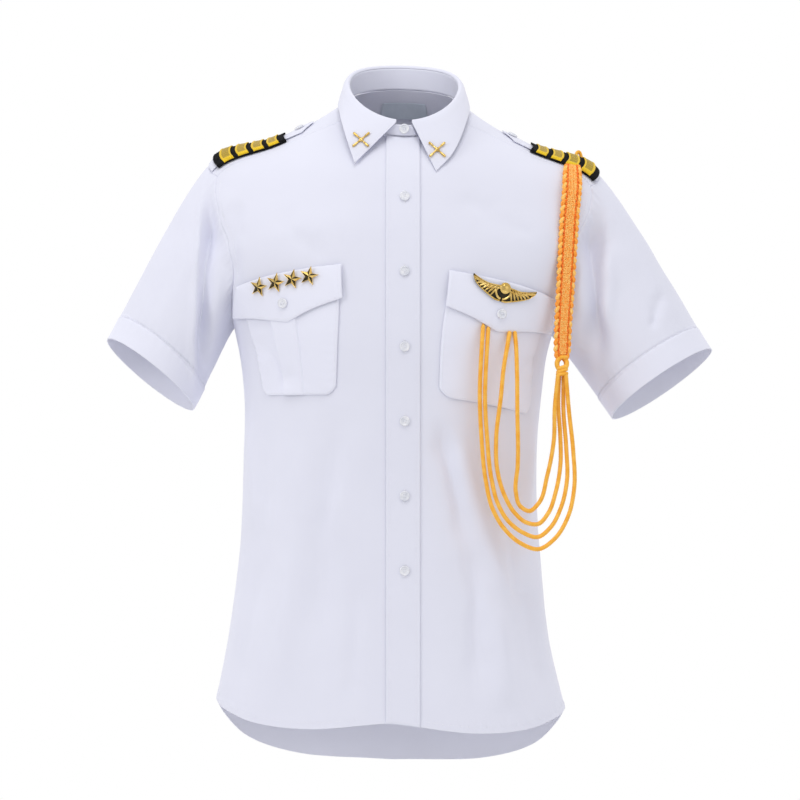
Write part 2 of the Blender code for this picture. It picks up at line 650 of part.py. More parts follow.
def straps():
    """Shoulder straps, the rank slides on them and the four gold bars of each slide."""
    for side, strap in STRAP.items():
        sign = 1 if side == "left" else -1
        half = STRAP_WIDTH / 2
        square_end = strap.length - 16
        stations = np.concatenate([np.linspace(0.5, square_end, 11), [strap.length - 8, strap.length]])
        widths = np.concatenate([np.linspace(half, half - 4, 11), [half * 0.5, 1.5]])
        strip(f"strap_{side}", sign, stations, widths, 5, WALL, STRAP_LIFT, "shirt_cloth")
        slide = np.linspace(strap.slide_from, strap.slide_to, 9)
        strip(f"slide_{side}", sign, slide, np.full(9, SLIDE_WIDTH / 2), 7, SLIDE_WALL, SLIDE_LIFT,
              "slide_cloth")
        first = strap.slide_from + (strap.slide_to - strap.slide_from - 3 * GOLD_BAR_PITCH - GOLD_BAR) / 2
        for bar in range(4):
            start = first + bar * GOLD_BAR_PITCH
            strip(f"gold_bar_{side}_{bar + 1}", sign, np.linspace(start, start + GOLD_BAR, 3),
                  np.full(3, SLIDE_WIDTH / 2 - 0.4), 7, 1.0, BAR_LIFT, "gold_lace")
        seat, out = frame_at(lambda d, a, lift: on_strap(sign, d, a, lift), strap.button, 0.0)
        lift = STRAP_LIFT + WALL / 2 + SEAM_GAP + BUTTON_HEIGHT / 2
        button(f"button_strap_{side}", seat, out, lift)


def frame_at(place, first, second):
    """The surface point and outward direction at one place of a lifted surface."""
    low = place(np.array([first]), np.array([second]), np.array([0.0]))[0]
    high = place(np.array([first]), np.array([second]), np.array([1.0]))[0]
    return Vector(low), Vector(high - low).normalized()


def front_frame(x, height):
    place = locate(x, height)
    return frame_at(on_shirt, place[0], place[1])


def stand_on(obj, seat, out, lift, spin=0.0):
    """Stands an object, modelled along +Z, on a surface point."""
    turn = out.to_track_quat("Z", "Y").to_matrix().to_4x4() @ Matrix.Rotation(spin, 4, "Z")
    obj.matrix_world = Matrix.Translation((seat + out * lift) * MM) @ turn
    return obj


def button(name, seat, out, lift):
    bm = bmesh.new()
    bmesh.ops.create_cone(bm, cap_ends=True, segments=14, radius1=BUTTON_RADIUS * MM,
                          radius2=(BUTTON_RADIUS - 0.5) * MM, depth=BUTTON_HEIGHT * MM)
    return stand_on(mesh_from(name, bm, "button_shell"), seat, out, lift)


def buttons():
    seat_lift = PLACKET_LIFT + WALL / 2 + SEAM_GAP + BUTTON_HEIGHT / 2
    for number, height in enumerate(FRONT_BUTTON_HEIGHTS, 1):
        seat, out = front_frame(0.5, height)
        button(f"button_front_{number}", seat, out, seat_lift)
    for side, corner in FLAP_BUTTON.items():
        seat, out = front_frame(*corner)
        button(f"button_pocket_{side}", seat, out, FLAP_LIFT + WALL / 2 + SEAM_GAP + BUTTON_HEIGHT / 2)
    low, high = neck_ring(NECK, np.zeros(1))[0], neck_ring(FOLD, np.zeros(1))[0]
    seat = Vector(low + 0.52 * (high - low))
    out = Vector((0, -1, -0.12)).normalized()
    button("button_collar", seat, out, 2.6 + COLLAR_WALL / 2 + SEAM_GAP + BUTTON_HEIGHT / 2 + 0.8)


def stars():
    """Four faceted stars in a row on the right pocket's flap."""
    for number, corner in enumerate(STARS, 1):
        bm = bmesh.new()
        bmesh.ops.create_cone(bm, cap_ends=True, segments=10, radius1=STAR_RADIUS * MM, radius2=0,
                              depth=3 * MM)
        low = sorted((vert for vert in bm.verts if vert.co.z < 0), key=lambda vert: math.atan2(vert.co.y, vert.co.x))
        for vert in low[::2]:
            vert.co.x *= 0.42
            vert.co.y *= 0.42
        seat, out = front_frame(*corner)
        star = mesh_from(f"star_{number}", bm, "gold_metal")
        star.data.shade_flat()
        stand_on(star, seat, out, FLAP_LIFT + WALL / 2 + SEAM_GAP + 1.2, spin=math.radians(-12))


def wings():
    """A generic winged badge on the left pocket's flap, with a plain disc at its middle."""
    left, right = (locate(*corner) for corner in WINGS)
    centre = locate(*WINGS_CENTRE)
    rows_per_mm = (locate(WINGS_CENTRE.x, WINGS_CENTRE.height - 10) - centre)[1] / 10
    across = np.linspace(-1, 1, 19)[:, None]
    middle = centre + (right - left) / 2 * across + ((left + right) / 2 - centre) * across**2
    share, top, low = zip(*WING_STATIONS)
    top, low = np.interp(abs(across[:, 0]), share, top), np.interp(abs(across[:, 0]), share, low)
    rows = []
    for down in (0, 0.33, 0.67, 1):
        place = middle.copy()
        place[:, 1] -= (top + (low - top) * down) * rows_per_mm
        rows.append(on_shirt(place[:, 0], place[:, 1], np.full(19, FLAP_LIFT + WALL / 2 + 0.4)))
    cloth("wings_badge", np.array(rows), 1.6, "gold_metal")
    bm = bmesh.new()
    bmesh.ops.create_cone(bm, cap_ends=True, segments=18, radius1=6.4 * MM, radius2=5.6 * MM, depth=2 * MM)
    seat, out = front_frame(*WINGS_CENTRE)
    stand_on(mesh_from("wings_disc", bm, "gold_metal"), seat, out,
             FLAP_LIFT + WALL / 2 + 0.8 + SEAM_GAP + 1.7)


def collar_pins():
    """Crossed bars on each collar leaf, cut from one flat outline."""
    arm, half = PIN_ARM, PIN_BAR / 2
    for side, angle, share in COLLAR_PINS:
        curve = bpy.data.curves.new(f"collar_pin_{side}", "CURVE")
        curve.dimensions = "2D"
        curve.fill_mode = "BOTH"
        curve.extrude = 0.6 * MM
        spline = curve.splines.new("POLY")
        corners = []
        for quarter in range(4):
            turn = Matrix.Rotation(math.radians(45 + 90 * quarter), 2)
            corners += [turn @ Vector(p) for p in ((arm, -half), (arm, half), (half, half))]
        spline.points.add(len(corners) - 1)
        for point, corner in zip(spline.points, corners):
            point.co = (corner.x * MM, corner.y * MM, 0, 1)
        spline.use_cyclic_u = True
        pin = add(f"collar_pin_{side}", curve, "gold_metal")
        seat, out = collar_frame(angle, share)
        stand_on(pin, seat, out, COLLAR_WALL / 2 + SEAM_GAP + 0.75)


def collar_frame(angle, share):
    """A point of the collar leaf and the direction out of it."""
    def at(a, s):
        return lean(fall_points(np.array([a]), np.array([s])))[0]
    here = at(angle, share)
    out = Vector(np.cross(at(angle + 1, share) - here, at(angle, share + 0.02) - here)).normalized()
    return Vector(here), out if out.y < 0 else -out


def route(points, step):
    """Evenly spaced points on a smooth curve through a route's own points."""
    points = np.array([tuple(p) for p in points], float)
    run = np.concatenate([[0], np.cumsum(np.linalg.norm(np.diff(points, axis=0), axis=-1))])
    fine = smooth(run, points, np.linspace(0, run[-1], 1500))
    length = np.concatenate([[0], np.cumsum(np.linalg.norm(np.diff(fine, axis=0), axis=-1))])
    places = np.linspace(0, length[-1], max(2, round(length[-1] / step) + 1))
    return np.stack([np.interp(places, length, fine[:, k]) for k in range(3)], -1)


def braid():
    """A flat braid that hangs from under the left slide, and the knot that ends it."""
    middle = route(BRAID, 11.0)
    sideways = np.array([0.96, 0.28, 0.0]) * BRAID_WIDTH / 2
    points = np.stack([middle + share * sideways for share in (-1, -0.4, 0.4, 1)], 1)
    cloth("braid", points, BRAID_THICK, "orange_cord")
    bm = bmesh.new()
    bmesh.ops.create_uvsphere(bm, u_segments=12, v_segments=8, radius=1)
    knot = mesh_from("braid_knot", bm, "orange_cord")
    knot.data.transform(Matrix.Diagonal((8.4 * MM, 6.4 * MM, 9.4 * MM, 1)))
    knot.location = Vector(KNOT_CENTRE) * MM


def cords():
    for number, points in enumerate(CORDS, 1):
        curve = bpy.data.curves.new(f"cord_{number}", "CURVE")
        curve.dimensions = "3D"
        curve.bevel_depth = CORD_DIAMETER / 2 * MM
        curve.bevel_resolution = 2
        curve.use_fill_caps = True
        path = route(points, CORD_STEP)
        spline = curve.splines.new("POLY")
        spline.points.add(len(path) - 1)
        for point, place in zip(spline.points, path):
            point.co = (*(Vector(place) * MM), 1)
        add(f"cord_{number}", curve, "orange_cord")


def label():
    """The bare cloth label inside the back of the neck."""
    aside, row = np.meshgrid(np.linspace(-LABEL_HALF_ANGLE, LABEL_HALF_ANGLE, 5), np.array([0.3, 0.5, 0.72]))
    angle = 180 + aside / (1 + 0.42 * (row - 0.3))
    lift = np.full(angle.size, -(WALL / 2 + SEAM_GAP + 0.7))
    points = on_shirt(angle.ravel(), row.ravel(), lift)
    cloth("label", points.reshape(*angle.shape, 3), 0.6, "label_cloth")


def main():
    for obj in list(bpy.data.objects):
        bpy.data.objects.remove(obj, do_unlink=True)
    fronts()
    placket()
    back()
    yoke()
    sleeves()
    collar_stand()
    collar_fall()
    pockets()
    flaps()
    straps()
    buttons()
    stars()
    wings()
    collar_pins()
    braid()
    cords()
    label()


main()
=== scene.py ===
import math
from collections import namedtuple

import bpy
import numpy as np
from mathutils import Matrix, Vector


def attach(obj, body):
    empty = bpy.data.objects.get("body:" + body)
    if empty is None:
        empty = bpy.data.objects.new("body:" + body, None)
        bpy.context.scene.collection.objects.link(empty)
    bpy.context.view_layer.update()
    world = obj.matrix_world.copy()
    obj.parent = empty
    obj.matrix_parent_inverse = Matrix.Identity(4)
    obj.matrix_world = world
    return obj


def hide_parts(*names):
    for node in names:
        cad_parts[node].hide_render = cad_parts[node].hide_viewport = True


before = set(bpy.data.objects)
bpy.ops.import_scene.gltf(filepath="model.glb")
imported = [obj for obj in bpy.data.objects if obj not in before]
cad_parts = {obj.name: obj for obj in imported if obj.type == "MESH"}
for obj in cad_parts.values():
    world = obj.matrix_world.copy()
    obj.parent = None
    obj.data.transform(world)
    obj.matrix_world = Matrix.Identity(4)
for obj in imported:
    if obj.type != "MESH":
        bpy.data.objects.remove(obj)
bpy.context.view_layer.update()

# Metres, +Z up, origin in the middle of the neck opening, front towards -Y, viewer's right +X.
# Tables and sizes are in millimetres. Left and right in a name are the wearer's.
MM = 0.001

# Driving sizes
WALL = 1.4
COLLAR_WALL = 1.6
SEAM_GAP = 0.3  # between a piece and what it is sewn or fixed on
SEAM_INSET = 0.05
LEAN = 0.026  # how far the whole shirt hangs lower towards the viewer's right, per unit of x
PLACKET_X = (-21.0, 18.2)
PLACKET_LIFT = 2.0
BUTTON_RADIUS = 5.6
STRAP_WIDTH = 46.0
SLIDE_WIDTH = 54.0
GOLD_BAR = 13.0
GOLD_BAR_PITCH = 19.2
CORD_DIAMETER = 4.6
STAR_RADIUS = 12.0
LOOP_PITCH = 7.5  # the side loops of the braid
UNDER_PLACKET_X = (9.5, 12.0)  # where the two fronts end beneath the placket
SHELL = 1.1  # the cloth's wall here, thinner than its solid's
EDGE_STEPS = (0.0, 0.45, 1.0, 1.8, 3.0)  # the finer rows beside a sewn edge
STITCH = (2.3, 0.55, 0.3)  # length, width and height
STITCH_PITCH = 3.2
SEAM_STITCH = 3.2  # how far each row of stitches is from its edge
PLACKET_STITCH = 4.6
HEM_STITCH = 7.5
FLAP_STITCH = 3.0
POCKET_STITCH = 2.2
BUTTON_SEAT = 0.75  # a button's middle above what it is sewn on
STRAP_TIP = 16.0  # the pointed end of a strap
WINGS_HALF = 36.5
FLOOR_RADIUS, FLOOR_HEIGHT = 1.4, -1.15  # metres
SIGN = {"right": -1, "left": 1}

# The trunk below the shoulders: level rings, measured from the middle of each
Ring = namedtuple("Ring", "name height centre_x half_width front_depth back_depth squareness")
TRUNK = (
    Ring("mid_armhole", -160, -5, 228, 118, 120, 2.4),
    Ring("armpit", -256, -13, 190, 123, 119, 2.4),
    Ring("lower_chest", -338, -14, 177, 117, 106, 2.3),
    Ring("waist", -430, -17, 175, 112, 100, 2.3),
    Ring("stomach", -530, -17, 180, 111, 102, 2.3),
    Ring("hip", -620, -18, 191, 113, 108, 2.3),
    Ring("hem", -700, -16, 208, 116, 112, 2.3),
)
# Angle and height of the hem: 0 is the centre front, 90 the side seam, 180 the centre back
HEM = (
    (0, -712), (22, -722), (45, -720), (70, -708),
    (90, -703), (104, -722), (125, -756), (150, -779), (180, -786),
)
# Rings over the shoulders, as angle, x, y and height
MID_YOKE = (
    (0, 0, -94, -68), (35, 77, -82, -60), (65, 148, -34, -43),
    (90, 152, 4, -31), (115, 149, 50, -43), (145, 90, 82, -18),
    (180, 0, 93, -5),
)
YOKE = (
    (0, 0, -109, -112), (35, 112, -93, -106), (65, 221, -35, -79),
    (90, 230, 4, -62), (115, 217, 52, -92), (145, 138, 100, -84),
    (180, 0, 109, -62),
)
LAST_ROW = 1 + len(TRUNK) + 1
FRONT_SEAM_ANGLE = 65.0
BACK_SEAM_ANGLE = 115.0

# Neck seam and collar fold: half width, middle and half depth, then height at front, side and back
NeckRing = namedtuple("NeckRing", "half_width middle_y half_depth front side back")
NECK = NeckRing(70, -2.5, 67.5, -30, 12, 41)
FOLD = NeckRing(65, -5.5, 67.5, -12, 40, 70)
# Free edge of the collar leaf, from the front tip round to the back, as angle, x, y and height
LEAF_EDGE = {
    "right": (
        (8, -57.7, -95, -65), (30, -66, -80, -38), (60, -75, -44, -4),
        (90, -78, -3, 15), (135, -57, 57, 35), (180, 0, 79, 33),
    ),
    "left": (
        (8, 37.2, -97, -72), (30, 56, -86, -50), (60, 73, -46, -8),
        (90, 78, -3, 15), (135, 57, 57, 35), (180, 0, 79, 33),
    ),
}

# Sleeve cuffs: the four ends of each opening, for the sleeve on each side
Cuff = namedtuple("Cuff", "outer inner front rear")
CUFF = {
    "right": Cuff((-357, 0, -270), (-255, 6, -350), (-297, -64, -292), (-309, 68, -320)),
    "left": Cuff((368, 0, -281), (250, 6, -360), (304, -64, -305), (316, 68, -332)),
}

# Soft folds of the trunk, as lines from one angle and height to another; depth is outwards
Fold = namedtuple("Fold", "angle_1 height_1 angle_2 height_2 width depth")
BODY_FOLDS = (
    Fold(-72, -350, -58, -500, 20, 4.0),
    Fold(74, -365, 60, -510, 20, 4.0),
    Fold(-34, -480, -40, -700, 24, 3.5),
    Fold(-58, -520, -62, -700, 24, -4.5),
    Fold(36, -500, 42, -700, 24, 3.5),
    Fold(60, -520, 62, -700, 24, -4.5),
    Fold(-118, -190, -140, -330, 18, -4.5),
    Fold(118, -200, 142, -340, 18, -4.5),
    Fold(-132, -420, -126, -700, 26, 5.0),
    Fold(132, -430, 128, -700, 26, 5.0),
    Fold(-156, -380, -160, -740, 24, -4.0),
    Fold(154, -380, 160, -740, 24, -4.0),
)
# Soft folds of a sleeve: share of its length, and the angles round it where the fold starts and ends
SleeveFold = namedtuple("SleeveFold", "share middle_angle half_angle width depth")
SLEEVE_FOLDS = (
    SleeveFold(0.16, 80, 55, 0.10, -7.0),
    SleeveFold(0.34, 84, 48, 0.10, 3.0),
    SleeveFold(0.16, 280, 50, 0.10, -6.0),
    SleeveFold(0.55, 128, 26, 0.16, -4.0),
    SleeveFold(0.60, 236, 26, 0.16, -4.0),
)

# Patches on the front, as corners at x and height
Corner = namedtuple("Corner", "x height")
Pocket = namedtuple("Pocket", "top_inner top_outer low_outer low_inner pleat_step")
POCKET = {
    "right": Pocket(Corner(-74.5, -216), Corner(-187, -232), Corner(-163, -333), Corner(-79, -332), 1.5),
    "left": Pocket(Corner(50, -220), Corner(168, -236), Corner(146, -356), Corner(40, -334), 1.1),
}
Flap = namedtuple("Flap", "top_inner top_outer low_outer point low_inner")
FLAP = {
    "right": Flap(Corner(-72, -182), Corner(-194, -206), Corner(-197, -241),
                  Corner(-133, -248), Corner(-70.5, -221)),
    "left": Flap(Corner(51.7, -189), Corner(174, -220), Corner(169, -259),
                 Corner(105.4, -259), Corner(47.3, -230)),
}
COLLAR_PINS = (("right", -20.5, 0.77), ("left", 18.0, 0.78))  # side, angle and share of the leaf
PIN_ARM = 13.0
POCKET_LIFT = 2.5
FLAP_LIFT = 6.1
FLAP_BUTTON = {"right": Corner(-137.8, -226), "left": Corner(110.3, -238)}
FRONT_BUTTON_HEIGHTS = (-103.5, -190, -276.5, -362.5, -449, -535.5)
STARS = (Corner(-165.4, -206.5), Corner(-146.3, -202.5), Corner(-127.2, -199), Corner(-108.1, -195.8))
WINGS = (Corner(78.1, -195), Corner(151.8, -214.5))
WINGS_CENTRE = Corner(114.3, -208.9)
# Edges of the winged badge: share of its half length, then its top and low edge above its middle line
WING_STATIONS = (
    (0, 2.2, -15.2), (0.15, 2.0, -15.4), (0.3, 1.2, -13.8), (0.5, 0.4, -11.3),
    (0.7, 1.0, -8.8), (0.85, 2.0, -6.1), (0.95, 2.8, -2.3), (1.0, 3.2, 0.6),
)

# Shoulder straps: length from the sleeve seam, the rank slide's two ends, and the button
Strap = namedtuple("Strap", "length slide_from slide_to button")
STRAP = {"right": Strap(134, 9, 97, 116), "left": Strap(126, 3, 88, 113)}
STRAP_ANGLE = 84.0
STRAP_LIFT = 2.5
SLIDE_LIFT = 4.9
BAR_LIFT = 6.7

# The braid hangs from under the left slide; the four cords loop from its knot to the
# pocket flap. Each point is x, y and z.
BRAID = (
    (199, -42, -68), (197.5, -60, -90), (194, -72, -120),
    (191, -80, -160), (188, -83, -210), (185.5, -83.5, -250),
    (184, -83.5, -290),
)
KNOT_CENTRE = (184, -83, -300)
CORDS = (
    ((91, -117.4, -254), (89.5, -123, -275), (88, -125, -300), (87, -125, -334),
     (89, -122, -382), (94, -120, -431), (102, -119, -464),
     (114, -116, -485), (133, -112, -503), (156, -106, -511),
     (175, -100, -499), (190, -95, -475), (198, -91, -440),
     (197, -88, -398), (192, -86, -350), (188.5, -86.5, -308.5)),
    ((97, -116.4, -257), (95.5, -122, -278), (94, -124.5, -303), (93, -125, -334),
     (95.5, -122, -382), (100.5, -120, -429), (108.5, -119, -459),
     (120, -116, -478), (136, -112, -491), (155, -106, -497),
     (170, -100, -486), (182, -95, -464), (189.5, -91, -432),
     (189, -87, -395), (186, -83, -352), (186.2, -80, -309.3)),
    ((122, -105.5, -261), (119.5, -111, -275), (115, -117, -300), (111.5, -120, -334),
     (106, -119, -384), (107.5, -118, -420), (116, -117, -449),
     (127, -114, -468), (141, -110, -480), (155, -106, -482),
     (167, -100, -470), (176, -95, -446), (182, -90, -413),
     (182, -86, -380), (180, -82, -346), (181, -80, -309.3)),
    ((128.5, -101.5, -261), (129.5, -107, -275), (130.2, -112.5, -300), (130.5, -117, -350),
     (131, -114, -415), (129, -111, -444), (134, -109, -461),
     (145, -106, -467), (156, -102, -458), (166, -97, -427),
     (174, -93, -386), (175.5, -90, -346), (179.5, -86.5, -308.5)),
)

# Creases placed from the photo, and like ones on the hidden sides: a soft trough where depth is
# below zero and a ridge where it is above, along a line of x and height points on the front or the rear
Crease = namedtuple("Crease", "face width depth line")
TRUNK_CREASES = (
    Crease("front", 17, -5.6, ((-74, -338), (-94, -486), (-99, -640))),
    Crease("front", 20, 4.0, ((-122, -372), (-128, -500), (-140, -660))),
    Crease("front", 14, -3.8, ((-162, -352), (-165, -460), (-172, -600))),
    Crease("front", 11, -2.5, ((-56, -540), (-58, -640), (-60, -704))),
    Crease("front", 10, -6.4, ((38, -356), (56, -428), (66, -470), (78, -520))),
    Crease("front", 13, 4.3, ((54, -362), (80, -452), (108, -536), (138, -606))),
    Crease("front", 12, -5.0, ((76, -476), (84, -560), (86, -700))),
    Crease("front", 14, 3.8, ((108, -560), (112, -640), (116, -706))),
    Crease("front", 10, -4.6, ((132, -470), (128, -530), (136, -590))),
    Crease("front", 9, -4.1, ((-196, -96), (-202, -150), (-196, -212))),
    Crease("front", 7, 2.5, ((-206, -84), (-214, -140), (-208, -196))),
    Crease("front", 14, -2.5, ((-150, -110), (-128, -150), (-80, -176))),
    Crease("front", 12, -4.2, ((196, -116), (200, -160), (190, -220))),
    Crease("front", 13, -2.4, ((60, -96), (104, -128), (160, -150))),
    Crease("front", 9, -3.1, ((-176, -262), (-150, -290), (-128, -330))),
    Crease("front", 9, -3.1, ((160, -275), (140, -300), (118, -345))),
    Crease("rear", 15, -4.4, ((-150, -150), (-104, -210), (-70, -300))),
    Crease("rear", 15, -4.4, ((144, -156), (100, -220), (66, -310))),
    Crease("rear", 14, 3.4, ((-130, -250), (-96, -330), (-84, -420))),
    Crease("rear", 14, 3.4, ((124, -260), (92, -340), (78, -430))),
    Crease("rear", 18, -4.4, ((-40, -380), (-52, -520), (-44, -690))),
    Crease("rear", 18, -4.1, ((30, -400), (38, -540), (30, -700))),
    Crease("rear", 12, -3.1, ((-112, -470), (-122, -580), (-118, -690))),
    Crease("rear", 12, -3.1, ((98, -480), (108, -590), (104, -700))),
    Crease("rear", 20, 3.1, ((-6, -420), (-10, -560), (-4, -720))),
)
SLEEVE_CREASES = {
    "right": (
        Crease("front", 6, 7.0, ((-237, -78), (-240, -130), (-243, -200), (-247, -280), (-252, -345))),
        Crease("front", 9, -15.0, ((-228, -78), (-231, -130), (-234, -200), (-237, -280), (-243, -340))),
        Crease("front", 9, -1.8, ((-262, -110), (-280, -180), (-300, -250))),
        Crease("front", 12, 1.6, ((-276, -150), (-300, -220), (-318, -270))),
        Crease("rear", 9, -4.5, ((-240, -90), (-240, -180), (-250, -290))),
        Crease("rear", 12, -2.2, ((-270, -130), (-296, -210), (-312, -280))),
    ),
    "left": (
        Crease("front", 12, -16.5, ((226, -104), (223, -180), (223, -240), (220, -310))),
        Crease("front", 8, 3.5, ((241, -106), (238, -180), (240, -262))),
        Crease("front", 7, 2.4, ((212, -110), (208, -180), (204, -250))),
        Crease("front", 6, -3.6, ((306, -206), (297, -232), (290, -258))),
        Crease("front", 12, 1.6, ((270, -130), (296, -200), (318, -262))),
        Crease("rear", 9, -4.5, ((236, -100), (234, -190), (244, -300))),
        Crease("rear", 12, -2.2, ((268, -140), (294, -220), (312, -290))),
    ),
}
CUFF_BAND = 30.0


def runs_along(path):
    """Distances along a path, from 0, at each of its points."""
    return np.concatenate([[0], np.cumsum(np.linalg.norm(np.diff(path, axis=0), axis=-1))])


def read_path(path, run, places):
    """Points of a path at places along it."""
    return np.stack([np.interp(places, run, path[:, k]) for k in range(3)], -1)


def grid_runs(points):
    """Distances across and down a grid of points, from its first column and its first row."""
    across, down = np.zeros(points.shape[:2]), np.zeros(points.shape[:2])
    across[:, 1:] = np.cumsum(np.linalg.norm(np.diff(points, axis=1), axis=-1), axis=1)
    down[1:] = np.cumsum(np.linalg.norm(np.diff(points, axis=0), axis=-1), axis=0)
    return across, down


def hermite(t, start, leave, end, arrive):
    """A smooth curve from start to end that leaves and arrives in given directions."""
    return (
        (2 * t**3 - 3 * t**2 + 1) * start + (t**3 - 2 * t**2 + t) * leave
        + (3 * t**2 - 2 * t**3) * end + (t**3 - t**2) * arrive
    )


def smooth(stations, values, at):
    """A smooth curve through the values at rising stations, read at each place in at."""
    stations = np.asarray(stations, float)
    values = np.asarray(values, float)
    at = np.atleast_1d(np.asarray(at, float))
    slopes = np.gradient(values, stations, axis=0)
    i = np.clip(np.searchsorted(stations, at, side="right") - 1, 0, len(stations) - 2)
    width = stations[i + 1] - stations[i]
    t = (at - stations[i]) / width
    if values.ndim == 3:
        each = np.arange(len(at))
        start, end = values[i, each], values[i + 1, each]
        rise, fall = slopes[i, each], slopes[i + 1, each]
    else:
        start, end, rise, fall = values[i], values[i + 1], slopes[i], slopes[i + 1]
    if values.ndim > 1:
        t, width = t[:, None], width[:, None]
    return hermite(t, start, width * rise, end, width * fall)


def neck_ring(ring, angle):
    """Points of a tilted neck ring at signed angles."""
    turn = np.radians(angle)
    even = (ring.front + ring.back) / 2 - ring.side
    tilt = (ring.front - ring.back) / 2
    height = ring.side + tilt * np.cos(turn) + even * np.cos(turn) ** 2
    return np.stack(
        [ring.half_width * np.sin(turn), ring.middle_y - ring.half_depth * np.cos(turn), height], -1
    )


def shoulder_ring(table, angle):
    """Points of a ring given by a table, the same on both sides."""
    rows, mirror = np.array(table, float), np.array([-1, -1, 1, 1])
    rows = np.concatenate([rows[[2, 1]] * mirror, rows, rows[[-2, -3]] * mirror + [360, 0, 0, 0]])
    points = smooth(rows[:, 0], rows[:, 1:], np.abs(angle))
    points[:, 0] *= np.where(angle < 0, -1, 1)
    return points


def trunk_ring(ring, angle):
    """Points of a level ring; the lowest follows the hem's curve."""
    turn = np.radians(angle)
    across, along = np.sin(turn), np.cos(turn)
    power = 2 / ring.squareness
    depth = np.where(along > 0, ring.front_depth, ring.back_depth)
    x = ring.centre_x + ring.half_width * np.sign(across) * np.abs(across) ** power
    y = -depth * np.sign(along) * np.abs(along) ** power
    height = np.full(len(x), float(ring.height))
    if ring.name == "hem":
        hem = np.array(HEM, float)
        height = smooth(hem[:, 0], hem[:, 1], np.abs(angle))
    return np.stack([x, y, height], -1)


def wrapped(angle):
    """Angles from -180 to 180."""
    return (np.asarray(angle, float) + 180) % 360 - 180


def plain_shirt(angle, row):
    """The shirt's surface with no folds: rows run from the neck (0) to the hem."""
    angle = wrapped(angle)
    rings = [neck_ring(NECK, angle), shoulder_ring(MID_YOKE, angle), shoulder_ring(YOKE, angle)]
    rings += [trunk_ring(ring, angle) for ring in TRUNK]
    points = smooth(range(len(rings)), np.array(rings), row)
    points[:, 2] -= LEAN * points[:, 0]
    return points


def along_line(angle, height, fold):
    """How near each point is to a fold's line, from 0 to 1, fading out at its ends."""
    scale = 3.1  # millimetres round the trunk for one degree
    start = np.array([fold.angle_1 * scale, fold.height_1])
    run = np.array([fold.angle_2 * scale, fold.height_2]) - start
    rel = np.stack([angle * scale, height], -1) - start
    share = rel @ run / (run @ run)
    aside = (rel[:, 0] * run[1] - rel[:, 1] * run[0]) / np.hypot(*run)
    ends = np.clip(share * 4, 0, 1) * np.clip((1 - share) * 4, 0, 1)
    return np.exp(-((aside / fold.width) ** 2)) * ends


def near_line(place, line, width):
    """From 0 to 1: how near each place is to a line, fading at its ends and uneven along it."""
    line = np.asarray(line, float)
    best, where = np.full(len(place), 1e9), np.zeros(len(place))
    lengths = np.linalg.norm(np.diff(line, axis=0), axis=1)
    for i, length in enumerate(lengths):
        step = line[i + 1] - line[i]
        share = np.clip((place - line[i]) @ step / length**2, 0, 1)
        away = np.linalg.norm(place - line[i] - share[:, None] * step, axis=1)
        where = np.where(away < best, (lengths[:i].sum() + share * length) / lengths.sum(), where)
        best = np.minimum(best, away)
    fade = np.clip(np.minimum(where, 1 - where) * 4, 0, 1)
    uneven = 1 + 0.25 * np.sin(9 * where + line[0, 0]) + 0.12 * np.sin(23 * where + line[0, 1])
    return np.exp(-((best / (width * uneven)) ** 2)) * fade**2 * (3 - 2 * fade)


def creased(points, creases, facing):
    """How far points move out for a table of creases; facing is 1 in front and 0 behind."""
    total = np.zeros(len(points))
    for crease in creases:
        face = facing if crease.face == "front" else 1 - facing
        total += face * crease.depth * near_line(points[:, [0, 2]], crease.line, crease.width)
    return total


def unevenness(points):
    """The slow, slight waviness of hanging cloth."""
    x, y, z = points.T
    slow = np.sin(x / 21 + 1.4 * np.sin(z / 57)) * np.cos(z / 49 + 0.9 * np.sin(x / 37) + y / 60)
    quick = np.sin(x / 9.5 + z / 15 + np.sin(z / 31)) * np.sin(z / 12.5 - x / 26 + y / 19)
    return 0.45 * slow + 0.1 * quick


def shirt(angle, row):
    """The shirt's surface at signed angles and rows, with its folds and creases."""
    angle = wrapped(np.atleast_1d(angle))
    row = np.broadcast_to(np.asarray(row, float), angle.shape)
    points = plain_shirt(angle, row)
    turn = np.radians(angle)
    facing = np.clip(0.5 + 2.4 * np.cos(turn), 0, 1)
    out = sum(fold.depth * along_line(angle, points[:, 2], fold) for fold in BODY_FOLDS)
    out = out + creased(points, TRUNK_CREASES, facing) + unevenness(points)
    points[:, 0] += out * np.sin(turn)
    points[:, 1] -= out * np.cos(turn)
    return points


def normals(surface, u, w, step_u, step_w):
    """Outward directions of a surface whose u runs anticlockwise seen from above and w outwards."""
    along_u = surface(u + step_u, w) - surface(u - step_u, w)
    along_w = surface(u, w + step_w) - surface(u, w - step_w)
    found = np.cross(along_w, along_u)
    return found / np.linalg.norm(found, axis=-1, keepdims=True)


def on_shirt(angle, row, lift):
    """Points lifted off the shirt's surface along its normals."""
    angle = np.atleast_1d(np.asarray(angle, float))
    row = np.clip(np.broadcast_to(np.asarray(row, float), angle.shape), 0.02, LAST_ROW - 0.02)
    return shirt(angle, row) + np.asarray(lift)[..., None] * normals(shirt, angle, row, 0.5, 0.01)


